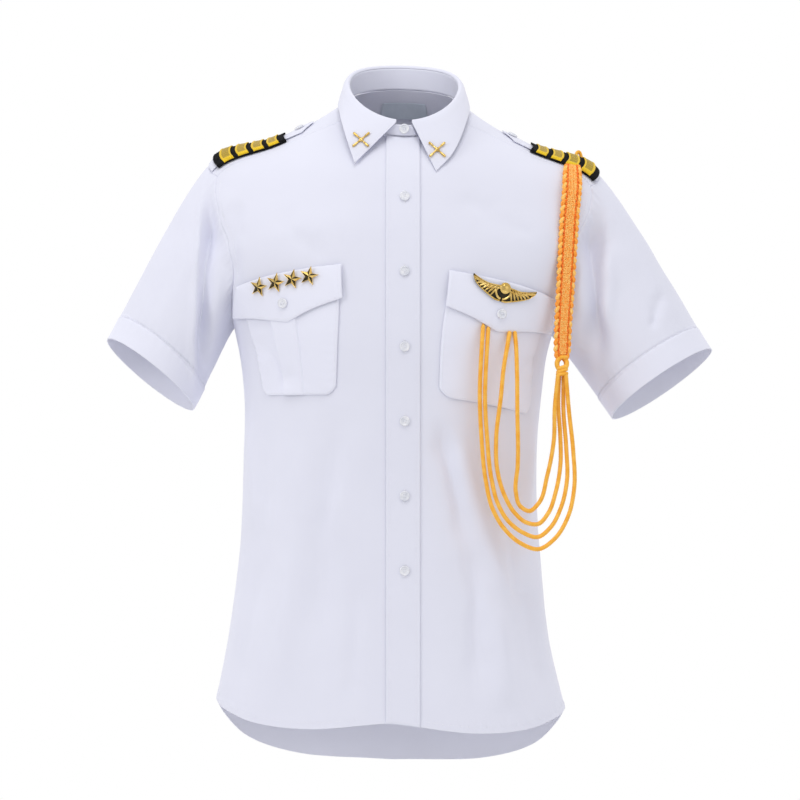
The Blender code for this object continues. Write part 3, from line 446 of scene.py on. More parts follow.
def locate(x, height):
    """The angle and row of the front's point at this x and height."""
    angles, rows = np.meshgrid(np.arange(-88, 89, 4.0), np.arange(0.2, LAST_ROW, 0.2))
    angles, rows = angles.ravel(), rows.ravel()
    points = plain_shirt(angles, rows)
    nearest = np.argmin((points[:, 0] - x) ** 2 + (points[:, 2] - height) ** 2)
    place = np.array([angles[nearest], rows[nearest]])
    step = np.array([0.2, 0.01])
    for _ in range(8):
        here = shirt(place[:1], place[1:])[0]
        right = shirt(place[:1] + step[0], place[1:])[0]
        down = shirt(place[:1], place[1:] + step[1])[0]
        slopes = np.stack([right - here, down - here], -1)[[0, 2]] / step
        place = place + np.clip(np.linalg.solve(slopes, [x - here[0], height - here[2]]), -3, 3)
    return place


def angle_at_x(x, row):
    """The front's angle where the surface crosses this x, at each row."""
    low, high = np.full(len(row), -60.0), np.full(len(row), 60.0)
    for _ in range(40):
        middle = (low + high) / 2
        left_of = shirt(middle, row)[:, 0] < x
        low, high = np.where(left_of, middle, low), np.where(left_of, high, middle)
    return low


def edge_angle(row, seam_angle, armhole_angle):
    """Where a panel ends: its shoulder seam, then the armhole, then the side seam."""
    row = np.asarray(row, float)
    down = np.clip(row - 2, 0, 1) * (armhole_angle - seam_angle)
    round_under = np.clip(row - 3, 0, 1) ** 2.6 * (90 - armhole_angle)
    return seam_angle + down + round_under


def front_edge(row):
    return edge_angle(row, FRONT_SEAM_ANGLE, 60.0)


def back_edge(row):
    return edge_angle(row, BACK_SEAM_ANGLE, 118.0)


def seam_inset(row, side_angle):
    """How many degrees a panel's edge is moved in at a seam."""
    here, near = shirt(side_angle, row), shirt(side_angle + 0.5, row)
    return SEAM_INSET / np.maximum(np.linalg.norm(near - here, axis=-1) / 0.5, 0.3)


def armhole(sign, count):
    """The armhole's closed curve, from the shoulder's top forwards, under the arm and up the back."""
    over = np.linspace(90, FRONT_SEAM_ANGLE, 20)
    down = 2 + 2 * np.linspace(0, 1, 80) ** 0.8
    front = np.stack([front_edge(down), down], -1)[1:]
    rear = np.stack([back_edge(down), down], -1)[::-1][1:]
    behind = np.linspace(BACK_SEAM_ANGLE, 90, 20)[1:]
    track = np.concatenate([
        np.stack([over, np.full(20, 2.0)], -1), front, rear, np.stack([behind, np.full(19, 2.0)], -1)
    ])
    points = shirt(sign * track[:, 0], track[:, 1])
    run = runs_along(points)
    places = np.linspace(0, run[-1], count)
    return read_path(points, run, places)


def sleeve_points(side, share, count):
    """Rings of a sleeve at shares of its length; each ring closes on its first point."""
    sign = SIGN[side]
    turn = np.linspace(0, 2 * np.pi, count)
    outer, inner, front, rear = (np.array(p, float) for p in CUFF[side])
    middle = (outer + inner + front + rear) / 4
    end = middle + np.cos(turn)[:, None] * (outer - inner) / 2 + np.sin(turn)[:, None] * (front - rear) / 2
    start = armhole(sign, count)
    under = (1 - np.cos(turn)) / 2
    leave = np.stack([sign * (0.9 - 0.25 * under), 0 * turn, -0.45 - 0.35 * under], -1)
    start = start + leave * (-0.3 + 0.5 * under**4)[:, None]
    leave *= (75 - 30 * under)[:, None]
    axis = middle - start.mean(axis=0)
    arrive = axis / np.linalg.norm(axis) * 110
    share = np.asarray(share, float)
    rings = hermite(share[:, None, None], start, leave, end, arrive)
    away = rings - rings.mean(axis=1, keepdims=True)
    away /= np.linalg.norm(away, axis=-1, keepdims=True)
    out = np.zeros(rings.shape[:2])
    for fold in SLEEVE_FOLDS:
        along = np.exp(-(((share - fold.share) / fold.width) ** 2))
        round_it = np.clip(1 - np.abs(np.degrees(turn) - fold.middle_angle) / fold.half_angle, 0, 1)
        out += fold.depth * along[:, None] * round_it**2 * (3 - 2 * round_it)
    flat = rings.reshape(-1, 3)
    facing = np.tile(np.clip(0.5 + 2.4 * np.sin(turn), 0, 1), len(share))
    fine = creased(flat, SLEEVE_CREASES[side], facing) + unevenness(flat)
    out += fine.reshape(out.shape) * np.clip(share * 12, 0, 1)[:, None]
    return rings + out[..., None] * away


def lean(points):
    """The collar's points, hung lower towards one side like the trunk."""
    points[..., 2] -= LEAN * points[..., 0]
    return points


def leaf_edge(side, angle):
    """Points of the collar leaf's free edge."""
    rows = np.array(LEAF_EDGE[side], float)
    return smooth(rows[:, 0], rows[:, 1:], angle)


def fall_points(angle, share):
    """The turned-down collar: share runs from its top edge over the fold (0.3) to the free edge."""
    folded = np.abs(angle)
    ring = neck_ring(FOLD, angle)
    out = outwards(angle, 0.0)
    up = np.array([0, 0, 1.0])
    front = np.clip((folded - 8) / 30, 0, 1)[:, None]
    roll_out = 4.2 + 1.8 * front
    free = np.where((angle > 0)[:, None], leaf_edge("left", folded), leaf_edge("right", folded))
    rolled = [
        ring - 2.6 * up, ring - 0.4 * up + 0.8 * out, ring + 0.6 * up + 0.5 * roll_out * out,
        ring - 2.6 * up + roll_out * out,
    ]
    below = [rolled[-1] + s * (free - rolled[-1]) for s in (0.25, 0.5, 0.75, 1.0)]
    stations = [0, 0.1, 0.2, 0.3, 0.475, 0.65, 0.825, 1.0]
    return smooth(stations, np.array(rolled + below), share)


def between(corners, across, down):
    """A place in a four-cornered patch, as an angle and a row."""
    top_inner, top_outer, low_outer, low_inner = corners
    top = top_inner + (top_outer - top_inner) * across[..., None]
    low = low_inner + (low_outer - low_inner) * across[..., None]
    return top + (low - top) * down[..., None]


def strap_frame(sign):
    """Rows along the shoulder for distances from the sleeve seam, and degrees for a millimetre across."""
    rows = np.linspace(2 - 0.012, 0.1, 120)
    line = shirt(np.full(120, sign * STRAP_ANGLE), rows)
    run = runs_along(line)
    beside = shirt(np.full(120, sign * (STRAP_ANGLE + 1)), rows)
    return run, rows, 1 / np.linalg.norm(beside - line, axis=-1)


def on_strap(sign, distance, aside, lift):
    """Points at a distance from the sleeve seam and to one side of the strap's middle."""
    run, rows, degrees = strap_frame(sign)
    row = np.interp(distance, run, rows)
    angle = sign * (STRAP_ANGLE + aside * np.interp(distance, run, degrees))
    return on_shirt(angle, row, lift)


def frame_at(place, first, second):
    """The surface point and outward direction at one place of a lifted surface."""
    low = place(np.array([first]), np.array([second]), np.array([0.0]))[0]
    high = place(np.array([first]), np.array([second]), np.array([1.0]))[0]
    return Vector(low), Vector(high - low).normalized()


def front_frame(x, height):
    """The front's surface point and outward direction at this x and height."""
    place = locate(x, height)
    return frame_at(on_shirt, place[0], place[1])


def collar_frame(angle, share):
    """A point of the collar leaf and the direction out of it."""
    def at(a, s):
        return lean(fall_points(np.array([a]), np.array([s])))[0]
    here = at(angle, share)
    out = Vector(np.cross(at(angle + 1, share) - here, at(angle, share + 0.02) - here)).normalized()
    return Vector(here), out if out.y < 0 else -out


def route(points, step):
    """Evenly spaced points on a smooth curve through a route's own points."""
    points = np.array(points, float)
    run = runs_along(points)
    fine = smooth(run, points, np.linspace(0, run[-1], 1500))
    length = runs_along(fine)
    places = np.linspace(0, length[-1], max(2, round(length[-1] / step) + 1))
    return read_path(fine, length, places)


MATERIALS = {}

# The cut of each piece of cloth that shows, in metres and square metres, without seam allowances and hems
Sheet = namedtuple("Sheet", "width length area held rests_on")


def grid_normals(points, like):
    """Directions out of a grid of points, turned to the side that the directions in like point to."""
    found = np.cross(np.gradient(points, axis=0), np.gradient(points, axis=1))
    found /= np.maximum(np.linalg.norm(found, axis=-1, keepdims=True), 1e-9)
    return found * np.sign((found * like).sum(-1, keepdims=True) + 1e-12)


def set_kinds(obj, kinds):
    """Which of an object's finishes each of its faces has."""
    obj.data.polygons.foreach_set("material_index", np.asarray(kinds).astype(np.int32))


def make(name, verts, faces, finish, uvs=None, smooth_shade=True, kinds=None, slot=None, node=None):
    """A mesh object from points in millimetres: uvs has a place for each corner of each face, kinds the
    finish of each face, and node is the one that it stands for."""
    mesh = bpy.data.meshes.new(name)
    mesh.from_pydata((np.asarray(verts, float) * MM).tolist(), [], [list(map(int, f)) for f in faces])
    if uvs is not None:
        layer = mesh.uv_layers.new(name="UVMap")
        layer.data.foreach_set("uv", np.asarray(uvs, float).ravel())
    if smooth_shade:
        mesh.shade_smooth()
    obj = bpy.data.objects.new(name, mesh)
    for each in finish if isinstance(finish, (list, tuple)) else (finish,):
        mesh.materials.append(MATERIALS[each])
    bpy.context.scene.collection.objects.link(obj)
    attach(obj, "root")
    if kinds is not None:
        set_kinds(obj, kinds)
    if node:
        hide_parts(node)
    return obj


def grid_faces(rows, columns, closed=False):
    """Faces of a grid of points, and each face's places in it, column by column."""
    i, j = np.meshgrid(np.arange(rows - 1), np.arange(columns - 1), indexing="ij")
    i, j = i.ravel(), j.ravel()
    wide = columns - 1 if closed else columns
    k = (j + 1) % wide
    faces = np.stack([i * wide + j, (i + 1) * wide + j, (i + 1) * wide + k, i * wide + k], -1)
    corner = i * columns + j
    places = np.stack([corner, corner + columns, corner + columns + 1, corner + 1], -1)
    return faces, places


def fabric(name, points, finish="cloth", wall=SHELL, closed=False, replaces=(), slot="shirt_cloth"):
    """A thin shell of cloth through a grid of points, with its weave laid along the grid."""
    rows, columns = points.shape[:2]
    faces, places = grid_faces(rows, columns, closed)
    across, down = grid_runs(points)
    across -= across.mean(axis=1, keepdims=True)
    uv = np.stack([across.ravel(), down.ravel()], -1) * MM
    verts = points[:, :-1] if closed else points
    obj = make(name, verts.reshape(-1, 3), faces, finish, uv[places.ravel()])
    shell = obj.modifiers.new("wall", "SOLIDIFY")
    shell.thickness = wall * MM
    shell.offset = 0
    obj.modifiers.new("flat_rims", "WEIGHTED_NORMAL")
    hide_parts(replaces)
    return obj


def steps(length, step):
    """Shares of a length: even steps, with finer ones by its two sewn edges."""
    lead = np.array(EDGE_STEPS) / length
    inner = np.linspace(lead[-1], 1 - lead[-1], max(2, round((length - 2 * EDGE_STEPS[-1]) / step) + 1))
    return np.concatenate([lead[:-1], inner, 1 - lead[:-1][::-1]])


def spread(rows, first, last, share):
    """Angles across a panel at shares of each row's real length."""
    count = 60
    even = np.linspace(0, 1, count)
    angles = first[:, None] + (last - first)[:, None] * even
    points = plain_shirt(angles.ravel(), np.repeat(rows, count)).reshape(len(rows), count, 3)
    run = grid_runs(points)[0]
    return np.stack([np.interp(share * r[-1], r, a) for r, a in zip(run, angles)])


def puckers(run, distance, at, height, pitch):
    """Small gathers along a row of sewing that lies at a distance from an edge."""
    wave = np.sin(2 * np.pi * run / pitch + 1.7 * np.sin(run / (2.3 * pitch)))
    return height * wave * np.exp(-(((distance - at) / (0.8 * pitch)) ** 2))


def outwards(angle, up=0.3):
    """Directions away from the shirt's middle at signed angles, tilted up."""
    turn = np.radians(angle)
    return np.stack([np.sin(turn), -np.cos(turn), 0 * turn + up], -1)


def trunk_panel(name, rows, first, last, step, seams, hem=False, lift=0.0, **kind):
    """A panel of the trunk. seams says which of its top, first and last edges are turned in at a seam."""
    width = 290 if name.startswith("front") else 560
    share = steps(width, step)
    angles = spread(rows, first, last, share)
    flat_rows = np.repeat(rows, len(share))
    points = shirt(angles.ravel(), flat_rows).reshape(len(rows), len(share), 3)
    out = grid_normals(points, outwards(angles))
    across, down = grid_runs(points)
    raised = np.full(points.shape[:2], float(lift))
    for edge, away in (("first", across), ("last", across[:, -1:] - across), ("top", down)):
        if edge in seams:
            raised -= 0.7 * np.exp(-((away / 0.9) ** 2))
            raised += puckers(down if edge != "top" else across, away, 5.0, 0.16, 9.0)
    if hem:
        up = down[-1:] - down
        raised += 0.35 * np.clip((8.5 - up) / 1.2, 0, 1) + puckers(across, up, 7.0, 0.55, 9.5)
    return fabric(name, points + raised[..., None] * out, **kind)


def trunk_rows(first, last):
    """Rows about 4 mm apart, with finer ones at the ends."""
    inner = [np.arange(0, 2, 0.045), np.arange(2, 3, 0.05), np.arange(3, LAST_ROW, 0.042)]
    rows = np.concatenate(inner)
    rows = rows[(rows > first + 0.03) & (rows < last - 0.03)]
    near = np.array([0, 0.005, 0.011, 0.02])
    return np.concatenate([first + near, rows, (last - near)[::-1]])


def make_trunk():
    """Both fronts, the back and the yoke, which meet at turned-in seams."""
    rows = trunk_rows(0.0, float(LAST_ROW))
    edge = front_edge(rows)
    inset = seam_inset(rows, edge)
    trunk_panel("front_right_cloth", rows, -(edge - inset), angle_at_x(UNDER_PLACKET_X[0], rows), 4.2,
                ("first",), hem=True, replaces="front_right")
    trunk_panel("front_left_cloth", rows, angle_at_x(UNDER_PLACKET_X[1], rows), edge - inset, 4.2,
                ("last",), hem=True, replaces="front_left")
    rows = trunk_rows(2.001, float(LAST_ROW))
    edge = back_edge(rows)
    inset = seam_inset(rows, edge)
    trunk_panel("back_cloth", rows, edge + inset, 360 - edge - inset, 4.4, ("first", "last", "top"),
                hem=True, replaces="back")
    rows = trunk_rows(0.0, 1.999)
    edge = np.full(len(rows), FRONT_SEAM_ANGLE)
    inset = seam_inset(rows, edge)
    trunk_panel("yoke_cloth", rows, edge + inset, 360 - edge - inset, 4.4, ("first", "last"), replaces="yoke")


def make_placket():
    """The buttoning strip, with folded edges and a slight dip where a row of stitches runs inside each."""
    rows = np.concatenate([np.arange(0.06, LAST_ROW, 0.045), [LAST_ROW]])
    x = np.concatenate([[0, 0.5, 1.2, 2.4, 4.0], np.linspace(5.2, 34.0, 12), [35.2, 36.8, 38.0, 38.7, 39.2]])
    angles = np.stack([angle_at_x(PLACKET_X[0] + each, rows) for each in x], 1)
    points = shirt(angles.ravel(), np.repeat(rows, len(x))).reshape(len(rows), len(x), 3)
    out = grid_normals(points, outwards(angles))
    raised = PLACKET_LIFT - 0.35 * np.exp(-(np.minimum(x, x[-1] - x) / 0.6) ** 2)
    raised = raised - 0.2 * np.exp(-((np.minimum(x, x[-1] - x) - PLACKET_STITCH) / 0.7) ** 2)
    fabric("placket_cloth", points + (raised[None, :, None] * out), replaces="placket")


def make_sleeves():
    for side in ("right", "left"):
        share = np.concatenate([[0, 0.006, 0.014], np.linspace(0.026, 0.76, 50), np.linspace(0.765, 0.9, 45),
                                np.linspace(0.91, 0.975, 7), [0.982, 0.988, 0.994, 1]])
        points = sleeve_points(side, share, 201)
        away = points - points.mean(axis=1, keepdims=True)
        out = grid_normals(points, away)
        across, down = grid_runs(points)
        up = down[-1:] - down
        raised = -0.6 * np.exp(-((down / 1.0) ** 2)) + puckers(across, down, 6.0, 0.35, 10.0)
        raised += 0.8 * np.clip((CUFF_BAND + 0.8 - up) / 1.6, 0, 1)
        raised += puckers(across, up, CUFF_BAND, 0.3, 11.0)
        raised -= 0.9 * np.exp(-(((up - CUFF_BAND) / 1.4) ** 2))
        obj = fabric(f"sleeve_{side}_cloth", points + raised[..., None] * out, ("cloth", "cloth_double"),
                     closed=True, replaces=f"sleeve_{side}")
        band = up.mean(axis=1)[:-1] < CUFF_BAND
        set_kinds(obj, np.repeat(band, points.shape[1] - 1))


def make_collar():
    """The stand, and the turned-down collar."""
    turn = np.linspace(-11, 371, 150)
    base, top = neck_ring(NECK, turn), neck_ring(FOLD, turn)
    base[:, 2] += WALL / 2 + SEAM_GAP + 0.1
    top[:, 2] -= 4.6 - 1.9 * np.clip(1 - np.abs(np.cos(np.radians(turn / 2)) ** 8), 0, 1)
    lap = np.clip((turn - 310) / 50, 0, 1)
    out = outwards(turn, 0.0)
    shift = out * (2.6 * lap**2 * (3 - 2 * lap))[:, None]
    share = np.linspace(0, 1, 13)[:, None, None]
    points = base + shift + share * (top - base)
    round_ends = np.clip(1 - np.minimum(turn + 11, 371 - turn) / 8, 0, 1) ** 3 * 9
    points[:, :, 2] -= round_ends * share[:, :, 0] ** 2
    fabric("collar_stand_cloth", lean(points), "cloth_double", 1.3, replaces="collar_stand")
    half = np.concatenate([[8, 8.3, 8.8, 9.6], np.linspace(10.8, 60, 42), np.linspace(60, 180, 64)[1:]])
    angle = np.concatenate([half, -half[::-1][1:]])
    share = np.concatenate([np.linspace(0, 0.3, 13), np.linspace(0.3, 0.97, 34)[1:], [0.98, 0.99, 1.0]])
    points = np.array([fall_points(angle, np.full(len(angle), each)) for each in share])
    bulge = np.clip((share - 0.3) / 0.7, 0, 1)[:, None] * np.exp(-((np.abs(angle) - 75) / 40) ** 2)[None, :]
    away = outwards(angle, 0.0)
    points = points + (0.8 * np.sin(np.pi * bulge))[..., None] * away
    fabric("collar_fall_cloth", lean(points), wall=1.4, replaces="collar_fall")


def shirt_grid(angle, row, lift):
    """Points lifted off the shirt, for grids of angles and rows."""
    angle, row, lift = np.broadcast_arrays(angle, row, lift)
    return on_shirt(angle.ravel(), row.ravel(), lift.ravel()).reshape(*angle.shape, 3)


def pocket_place(corners, across, down):
    """Angles and rows on a pocket, whose lower corners are rounded off."""
    cut = np.clip((np.abs(across - 0.5) - 0.4) / 0.1, 0, 1) ** 2 * 0.09
    return between(corners, across, down * (1 - cut))


def make_pockets():
    """Patch pockets with rounded lower corners and an open box pleat."""
    for side, pocket in POCKET.items():
        corners = [locate(*corner) for corner in pocket[:4]]
        pleat_edge = np.array([0.355, 0.36, 0.366, 0.372, 0.378])
        columns = np.concatenate([
            np.linspace(0, 0.02, 4), np.linspace(0.03, 0.345, 22), pleat_edge, np.linspace(0.39, 0.61, 15),
            1 - pleat_edge[::-1], np.linspace(0.655, 0.97, 22), np.linspace(0.98, 1, 4)
        ])
        across, down = np.meshgrid(columns, np.concatenate([np.linspace(0, 0.97, 38), [0.98, 0.99, 1]]))
        pleat = np.clip((0.378 - np.abs(across - 0.5) - 0.24) / 0.012, 0, 1)
        edge = np.minimum(np.minimum(across, 1 - across) * 108, (1 - down) * 110)
        lift = POCKET_LIFT + pocket.pleat_step * pleat * (1.4 + 5.5 * (across - 0.5) * down)
        lift -= 0.9 * np.exp(-((edge / 1.1) ** 2))
        lift += puckers(down * 110 + across * 40, edge, 4.0, 0.18, 10.0)
        ripple = 0.5 * np.sin(across * 9 + down * 4) * np.sin(down * 6 - across * 3)
        lift += ripple * (1 - pleat) * np.clip(edge / 9, 0, 1)
        place = pocket_place(corners, across, down)
        fabric(f"pocket_{side}_cloth", shirt_grid(place[..., 0], place[..., 1], lift), "cloth_double",
               replaces=f"pocket_{side}")


def flap_place(side, columns, share):
    """Angles and rows on a flap: columns run from its inner to its outer end, share from top to edge."""
    top_inner, top_outer, low_outer, point, low_inner = (locate(*corner) for corner in FLAP[side])
    t = np.where(columns < 0.5, columns / 0.5, (1 - columns) / 0.5)[..., None]
    end = np.where((columns < 0.5)[..., None], low_inner, low_outer)
    low = end + (point - end) * t
    low[..., 1] -= 0.014 * np.sin(np.pi * t[..., 0]) ** 2
    top = top_inner + (top_outer - top_inner) * columns[..., None]
    return top + (low - top) * share[..., None]


def make_flaps():
    for side in FLAP:
        columns = np.concatenate([
            np.linspace(0, 0.02, 4), np.linspace(0.03, 0.97, 52), np.linspace(0.98, 1, 4)
        ])
        share = np.concatenate([np.linspace(0, 0.94, 22), [0.955, 0.97, 0.985, 1]])
        across, down = np.meshgrid(columns, share)
        place = flap_place(side, across, down)
        edge = np.minimum(np.minimum(across, 1 - across) * 122, (1 - down) * 38)
        lift = FLAP_LIFT - 2.6 * (1 - down) ** 3 - 0.7 * np.exp(-((edge / 1.0) ** 2))
        lift += puckers(across * 120, edge, 5.0, 0.14, 9.0)
        fabric(f"flap_{side}_cloth", shirt_grid(place[..., 0], place[..., 1], lift), "cloth_double",
               replaces=f"flap_{side}")


def strip_points(sign, stations, aside, lift):
    """A grid along the shoulder strap; aside and lift are given for each station and column."""
    aside = np.broadcast_to(aside, (len(stations), np.shape(aside)[-1]))
    lift = np.broadcast_to(lift, aside.shape)
    distance = np.repeat(stations, aside.shape[1])
    return on_strap(sign, distance, aside.ravel(), lift.ravel()).reshape(*aside.shape, 3)


def make_straps():
    """Shoulder straps with a pointed end, the black slides round them and their gold bars."""
    for side, strap in STRAP.items():
        sign = SIGN[side]
        half, tip = STRAP_WIDTH / 2, strap.length - STRAP_TIP
        stations = np.concatenate([np.linspace(0.5, tip, 36), np.linspace(tip, strap.length, 12)[1:]])
        widths = np.interp(stations, [0, tip, strap.length - 1.0, strap.length], [half, half - 4, 2.2, 1.2])
        share = np.concatenate([[-1, -0.975, -0.94], np.linspace(-0.88, 0.88, 15), [0.94, 0.975, 1]])
        edge = (1 - np.abs(share)) * half
        lift = STRAP_LIFT - 0.35 * np.exp(-((edge / 0.8) ** 2))
        lift -= 0.12 * np.exp(-(((edge - SEAM_STITCH) / 0.8) ** 2))
        points = strip_points(sign, stations, share[None, :] * widths[:, None], lift)
        fabric(f"strap_{side}_cloth", points, wall=1.0, replaces=f"strap_{side}")
        make_slide(side, sign, strap)


def make_slide(side, sign, strap):
    """A rank slide: a flattened tube of black ribbed cloth, with four raised bars of gold lace."""
    half = SLIDE_WIDTH / 2 - 0.6
    turn = np.linspace(0, np.pi, 9)
    top, low = SLIDE_LIFT + 0.3, 1.25
    radius, level = (top - low) / 2, (top + low) / 2
    right = np.stack([half - radius + radius * np.sin(turn), level + radius * np.cos(turn)], -1)
    left = np.stack([-half + radius - radius * np.sin(turn), level - radius * np.cos(turn)], -1)
    flat = np.linspace(-half + radius, half - radius, 18)[1:-1]
    loop = np.concatenate([
        right, np.stack([flat[::-1], np.full(16, low)], -1), left,
        np.stack([flat, np.full(16, top)], -1), right[:1]
    ])
    stations = np.linspace(strap.slide_from, strap.slide_to, 176)
    ribs = 0.28 * np.cos(2 * np.pi * stations / 2.5)[:, None] * np.clip((loop[:, 1] - low) / 2, 0, 1)
    points = strip_points(sign, stations, loop[:, 0], loop[:, 1][None, :] + ribs)
    fabric(f"slide_{side}_cloth", points, "slide", 0.8, closed=True, replaces=f"slide_{side}",
           slot="slide_cloth")
    first = strap.slide_from + (strap.slide_to - strap.slide_from - 3 * GOLD_BAR_PITCH - GOLD_BAR) / 2
    reach = SLIDE_WIDTH / 2 - 0.5
    aside = np.concatenate([np.linspace(-reach, -reach + 5, 10), np.linspace(-reach + 5, reach - 5, 60)[1:-1],
                            np.linspace(reach - 5, reach, 10)])
    for bar in range(4):
        stations = first + bar * GOLD_BAR_PITCH + np.linspace(0, GOLD_BAR, 30)
        inside = np.minimum(stations - stations[0], stations[-1] - stations)[:, None]
        end = reach - np.abs(aside)[None, :]
        rim = np.clip((np.minimum(inside, 0.55 * end) - 1.9) / 0.5, 0, 1)
        weave = np.sin(2 * np.pi * stations[:, None] / 1.9 + 0.3 * aside)
        weave = weave * np.sin(2 * np.pi * aside[None, :] / 3.4)
        cross = 0.12 * np.sin(2 * np.pi * aside[None, :] / 1.7)
        lift = BAR_LIFT + 0.1 - 0.55 * rim + 0.16 * rim * weave + (1 - rim) * cross
        lift = lift - 2.3 * np.clip(1 - end / 2.2, 0, 1) ** 2 - 0.4 * np.exp(-((inside / 0.5) ** 2))
        name = f"gold_bar_{side}_{bar + 1}"
        obj = fabric(f"{name}_lace", strip_points(sign, stations, aside, lift), "lace_frame", 0.7,
                     replaces=name, slot="gold_lace")
        obj.data.materials.append(MATERIALS["lace_centre"])
        set_kinds(obj, (rim[:-1, :-1] > 0.5).ravel())


def disc_with_holes(radius, hole_ring, hole, thick):
    """A flat disc with four holes and rounded edges, as mesh points and faces."""
    curve = bpy.data.curves.new("disc", "CURVE")
    curve.dimensions, curve.fill_mode = "2D", "BOTH"
    curve.extrude, curve.bevel_depth, curve.bevel_resolution = thick / 2, thick * 0.3, 2
    circles = [(0, 0, radius, 40)] + [
        (hole_ring * math.cos(a), hole_ring * math.sin(a), hole, 12) for a in np.radians([45, 135, 225, 315])
    ]
    for x, y, size, count in circles:
        spline = curve.splines.new("POLY")
        spline.points.add(count - 1)
        for point, a in zip(spline.points, np.linspace(0, 2 * math.pi, count, endpoint=False)):
            point.co = (x + size * math.cos(a), y + size * math.sin(a), 0, 1)
        spline.use_cyclic_u = True
    obj = bpy.data.objects.new("disc", curve)
    bpy.context.scene.collection.objects.link(obj)
    mesh = bpy.data.meshes.new_from_object(obj.evaluated_get(bpy.context.evaluated_depsgraph_get()))
    verts, faces = [tuple(v.co) for v in mesh.vertices], [tuple(p.vertices) for p in mesh.polygons]
    bpy.data.objects.remove(obj)
    bpy.data.meshes.remove(mesh)
    bpy.data.curves.remove(curve)
    return verts, faces


def tube(path, radius, sides=8, ribs=None):
    """Points and faces of a capped tube along a path; radius is one number or one for each point."""
    path = np.asarray(path, float)
    tangent = np.gradient(path, axis=0)
    tangent /= np.linalg.norm(tangent, axis=1, keepdims=True)
    side = np.zeros_like(path)
    first = np.cross(tangent[0], [0.3, 0.2, 1.0])
    side[0] = first / np.linalg.norm(first)
    for i in range(1, len(path)):
        carried = side[i - 1] - tangent[i] * (side[i - 1] @ tangent[i])
        side[i] = carried / np.linalg.norm(carried)
    other = np.cross(tangent, side)
    turn = np.linspace(0, 2 * np.pi, sides, endpoint=False)
    size = np.broadcast_to(np.asarray(radius, float).reshape(-1, 1), (len(path), sides))
    if ribs is not None:
        size = size * ribs(turn)
    rings = path[:, None] + size[..., None] * (
        np.cos(turn)[None, :, None] * side[:, None] + np.sin(turn)[None, :, None] * other[:, None]
    )
    faces, _ = grid_faces(len(path), sides + 1, closed=True)
    faces = faces.tolist() + [list(range(sides))[::-1], [(len(path) - 1) * sides + k for k in range(sides)]]
    return rings.reshape(-1, 3), faces


def joined(parts):
    """Several meshes' points and faces as one; a part is points and faces."""
    verts, faces, offset = [], [], 0
    for points, shape in parts:
        verts.append(np.asarray(points, float))
        faces += [[int(k) + offset for k in face] for face in shape]
        offset += len(points)
    return np.concatenate(verts), faces


def standing(seat, out, lift, spin=0.0):
    """A matrix, in millimetres, that stands a shape modelled along +Z on a surface point."""
    turn = Vector(out).to_track_quat("Z", "Y").to_matrix().to_4x4() @ Matrix.Rotation(spin, 4, "Z")
    return np.array(Matrix.Translation(Vector(seat) + Vector(out) * lift) @ turn)


def placed(points, matrix):
    """Points moved by a matrix."""
    return np.asarray(points, float) @ matrix[:3, :3].T + matrix[:3, 3]


def make_button(node, seat, out, lift, spin=0.2):
    """A pearly four-hole button with a raised rim, sewn on with crossed thread."""
    verts, faces = DISC
    ring = [(4.75 * math.cos(a), 4.75 * math.sin(a), 0.62) for a in np.linspace(0, 2 * math.pi, 41)[:-1]]
    rim, rim_faces = tube(np.array(ring + ring[:1]), 0.72, 8)
    shell, shell_faces = joined([(verts, faces), (rim, rim_faces)])
    threads = []
    for a in (0.25, 0.75):
        x, y = 1.35 * math.cos(a * math.pi), 1.35 * math.sin(a * math.pi)
        path = [(x * t, y * t, 0.75 + 0.35 * (1 - t * t)) for t in np.linspace(-1, 1, 7)]
        path = [(x * -1, y * -1, -0.6)] + path + [(x, y, -0.6)]
        threads.append(tube(np.array(path), 0.26, 6))
    thread, thread_faces = joined(threads)
    whole, all_faces = joined([(shell, shell_faces), (thread, thread_faces)])
    kinds = [0] * len(shell_faces) + [1] * len(thread_faces)
    obj = make(f"{node}_turned", placed(whole, standing(seat, out, lift, spin)), all_faces,
               ["pearl", "thread"], kinds=kinds, slot="button_shell", node=node)
    obj.data.set_sharp_from_angle(angle=math.radians(50))


def make_buttons():
    seat_lift = PLACKET_LIFT + WALL / 2 + SEAM_GAP + BUTTON_SEAT
    for number, height in enumerate(FRONT_BUTTON_HEIGHTS, 1):
        seat, out = front_frame(0.5, height)
        make_button(f"button_front_{number}", seat, out, seat_lift, 0.3 * number)
    for side, corner in FLAP_BUTTON.items():
        seat, out = front_frame(*corner)
        make_button(f"button_pocket_{side}", seat, out, FLAP_LIFT + WALL / 2 + SEAM_GAP + BUTTON_SEAT)
    low, high = neck_ring(NECK, np.zeros(1))[0], neck_ring(FOLD, np.zeros(1))[0]
    seat, out = Vector(low + 0.52 * (high - low)), Vector((0, -1, -0.12)).normalized()
    make_button("button_collar", seat, out, 2.6 + COLLAR_WALL / 2 + SEAM_GAP + 1.6)
    for side, strap in STRAP.items():
        sign = SIGN[side]
        seat, out = frame_at(lambda d, a, lift: on_strap(sign, d, a, lift), strap.button, 0.0)
        make_button(f"button_strap_{side}", seat, out, STRAP_LIFT + WALL / 2 + SEAM_GAP + BUTTON_SEAT)


def make_label():
    """The bare woven label inside the back of the neck."""
    aside, row = np.meshgrid(np.linspace(-16, 16, 33), np.linspace(0.3, 0.72, 17))
    angle = 180 + aside / (1 + 0.42 * (row - 0.3))
    points = shirt_grid(angle, row, -(WALL / 2 + SEAM_GAP + 0.7))
    fabric("label_cloth_bare", points, "label", 0.5, replaces="label", slot="label_cloth")


def cord_ribs(phase):
    """Slanting ribs round a laid cord, for each place along it."""
    def ribs(turn):
        return 1 + 0.15 * np.cos(2 * turn[None, :] - phase[:, None])
    return ribs


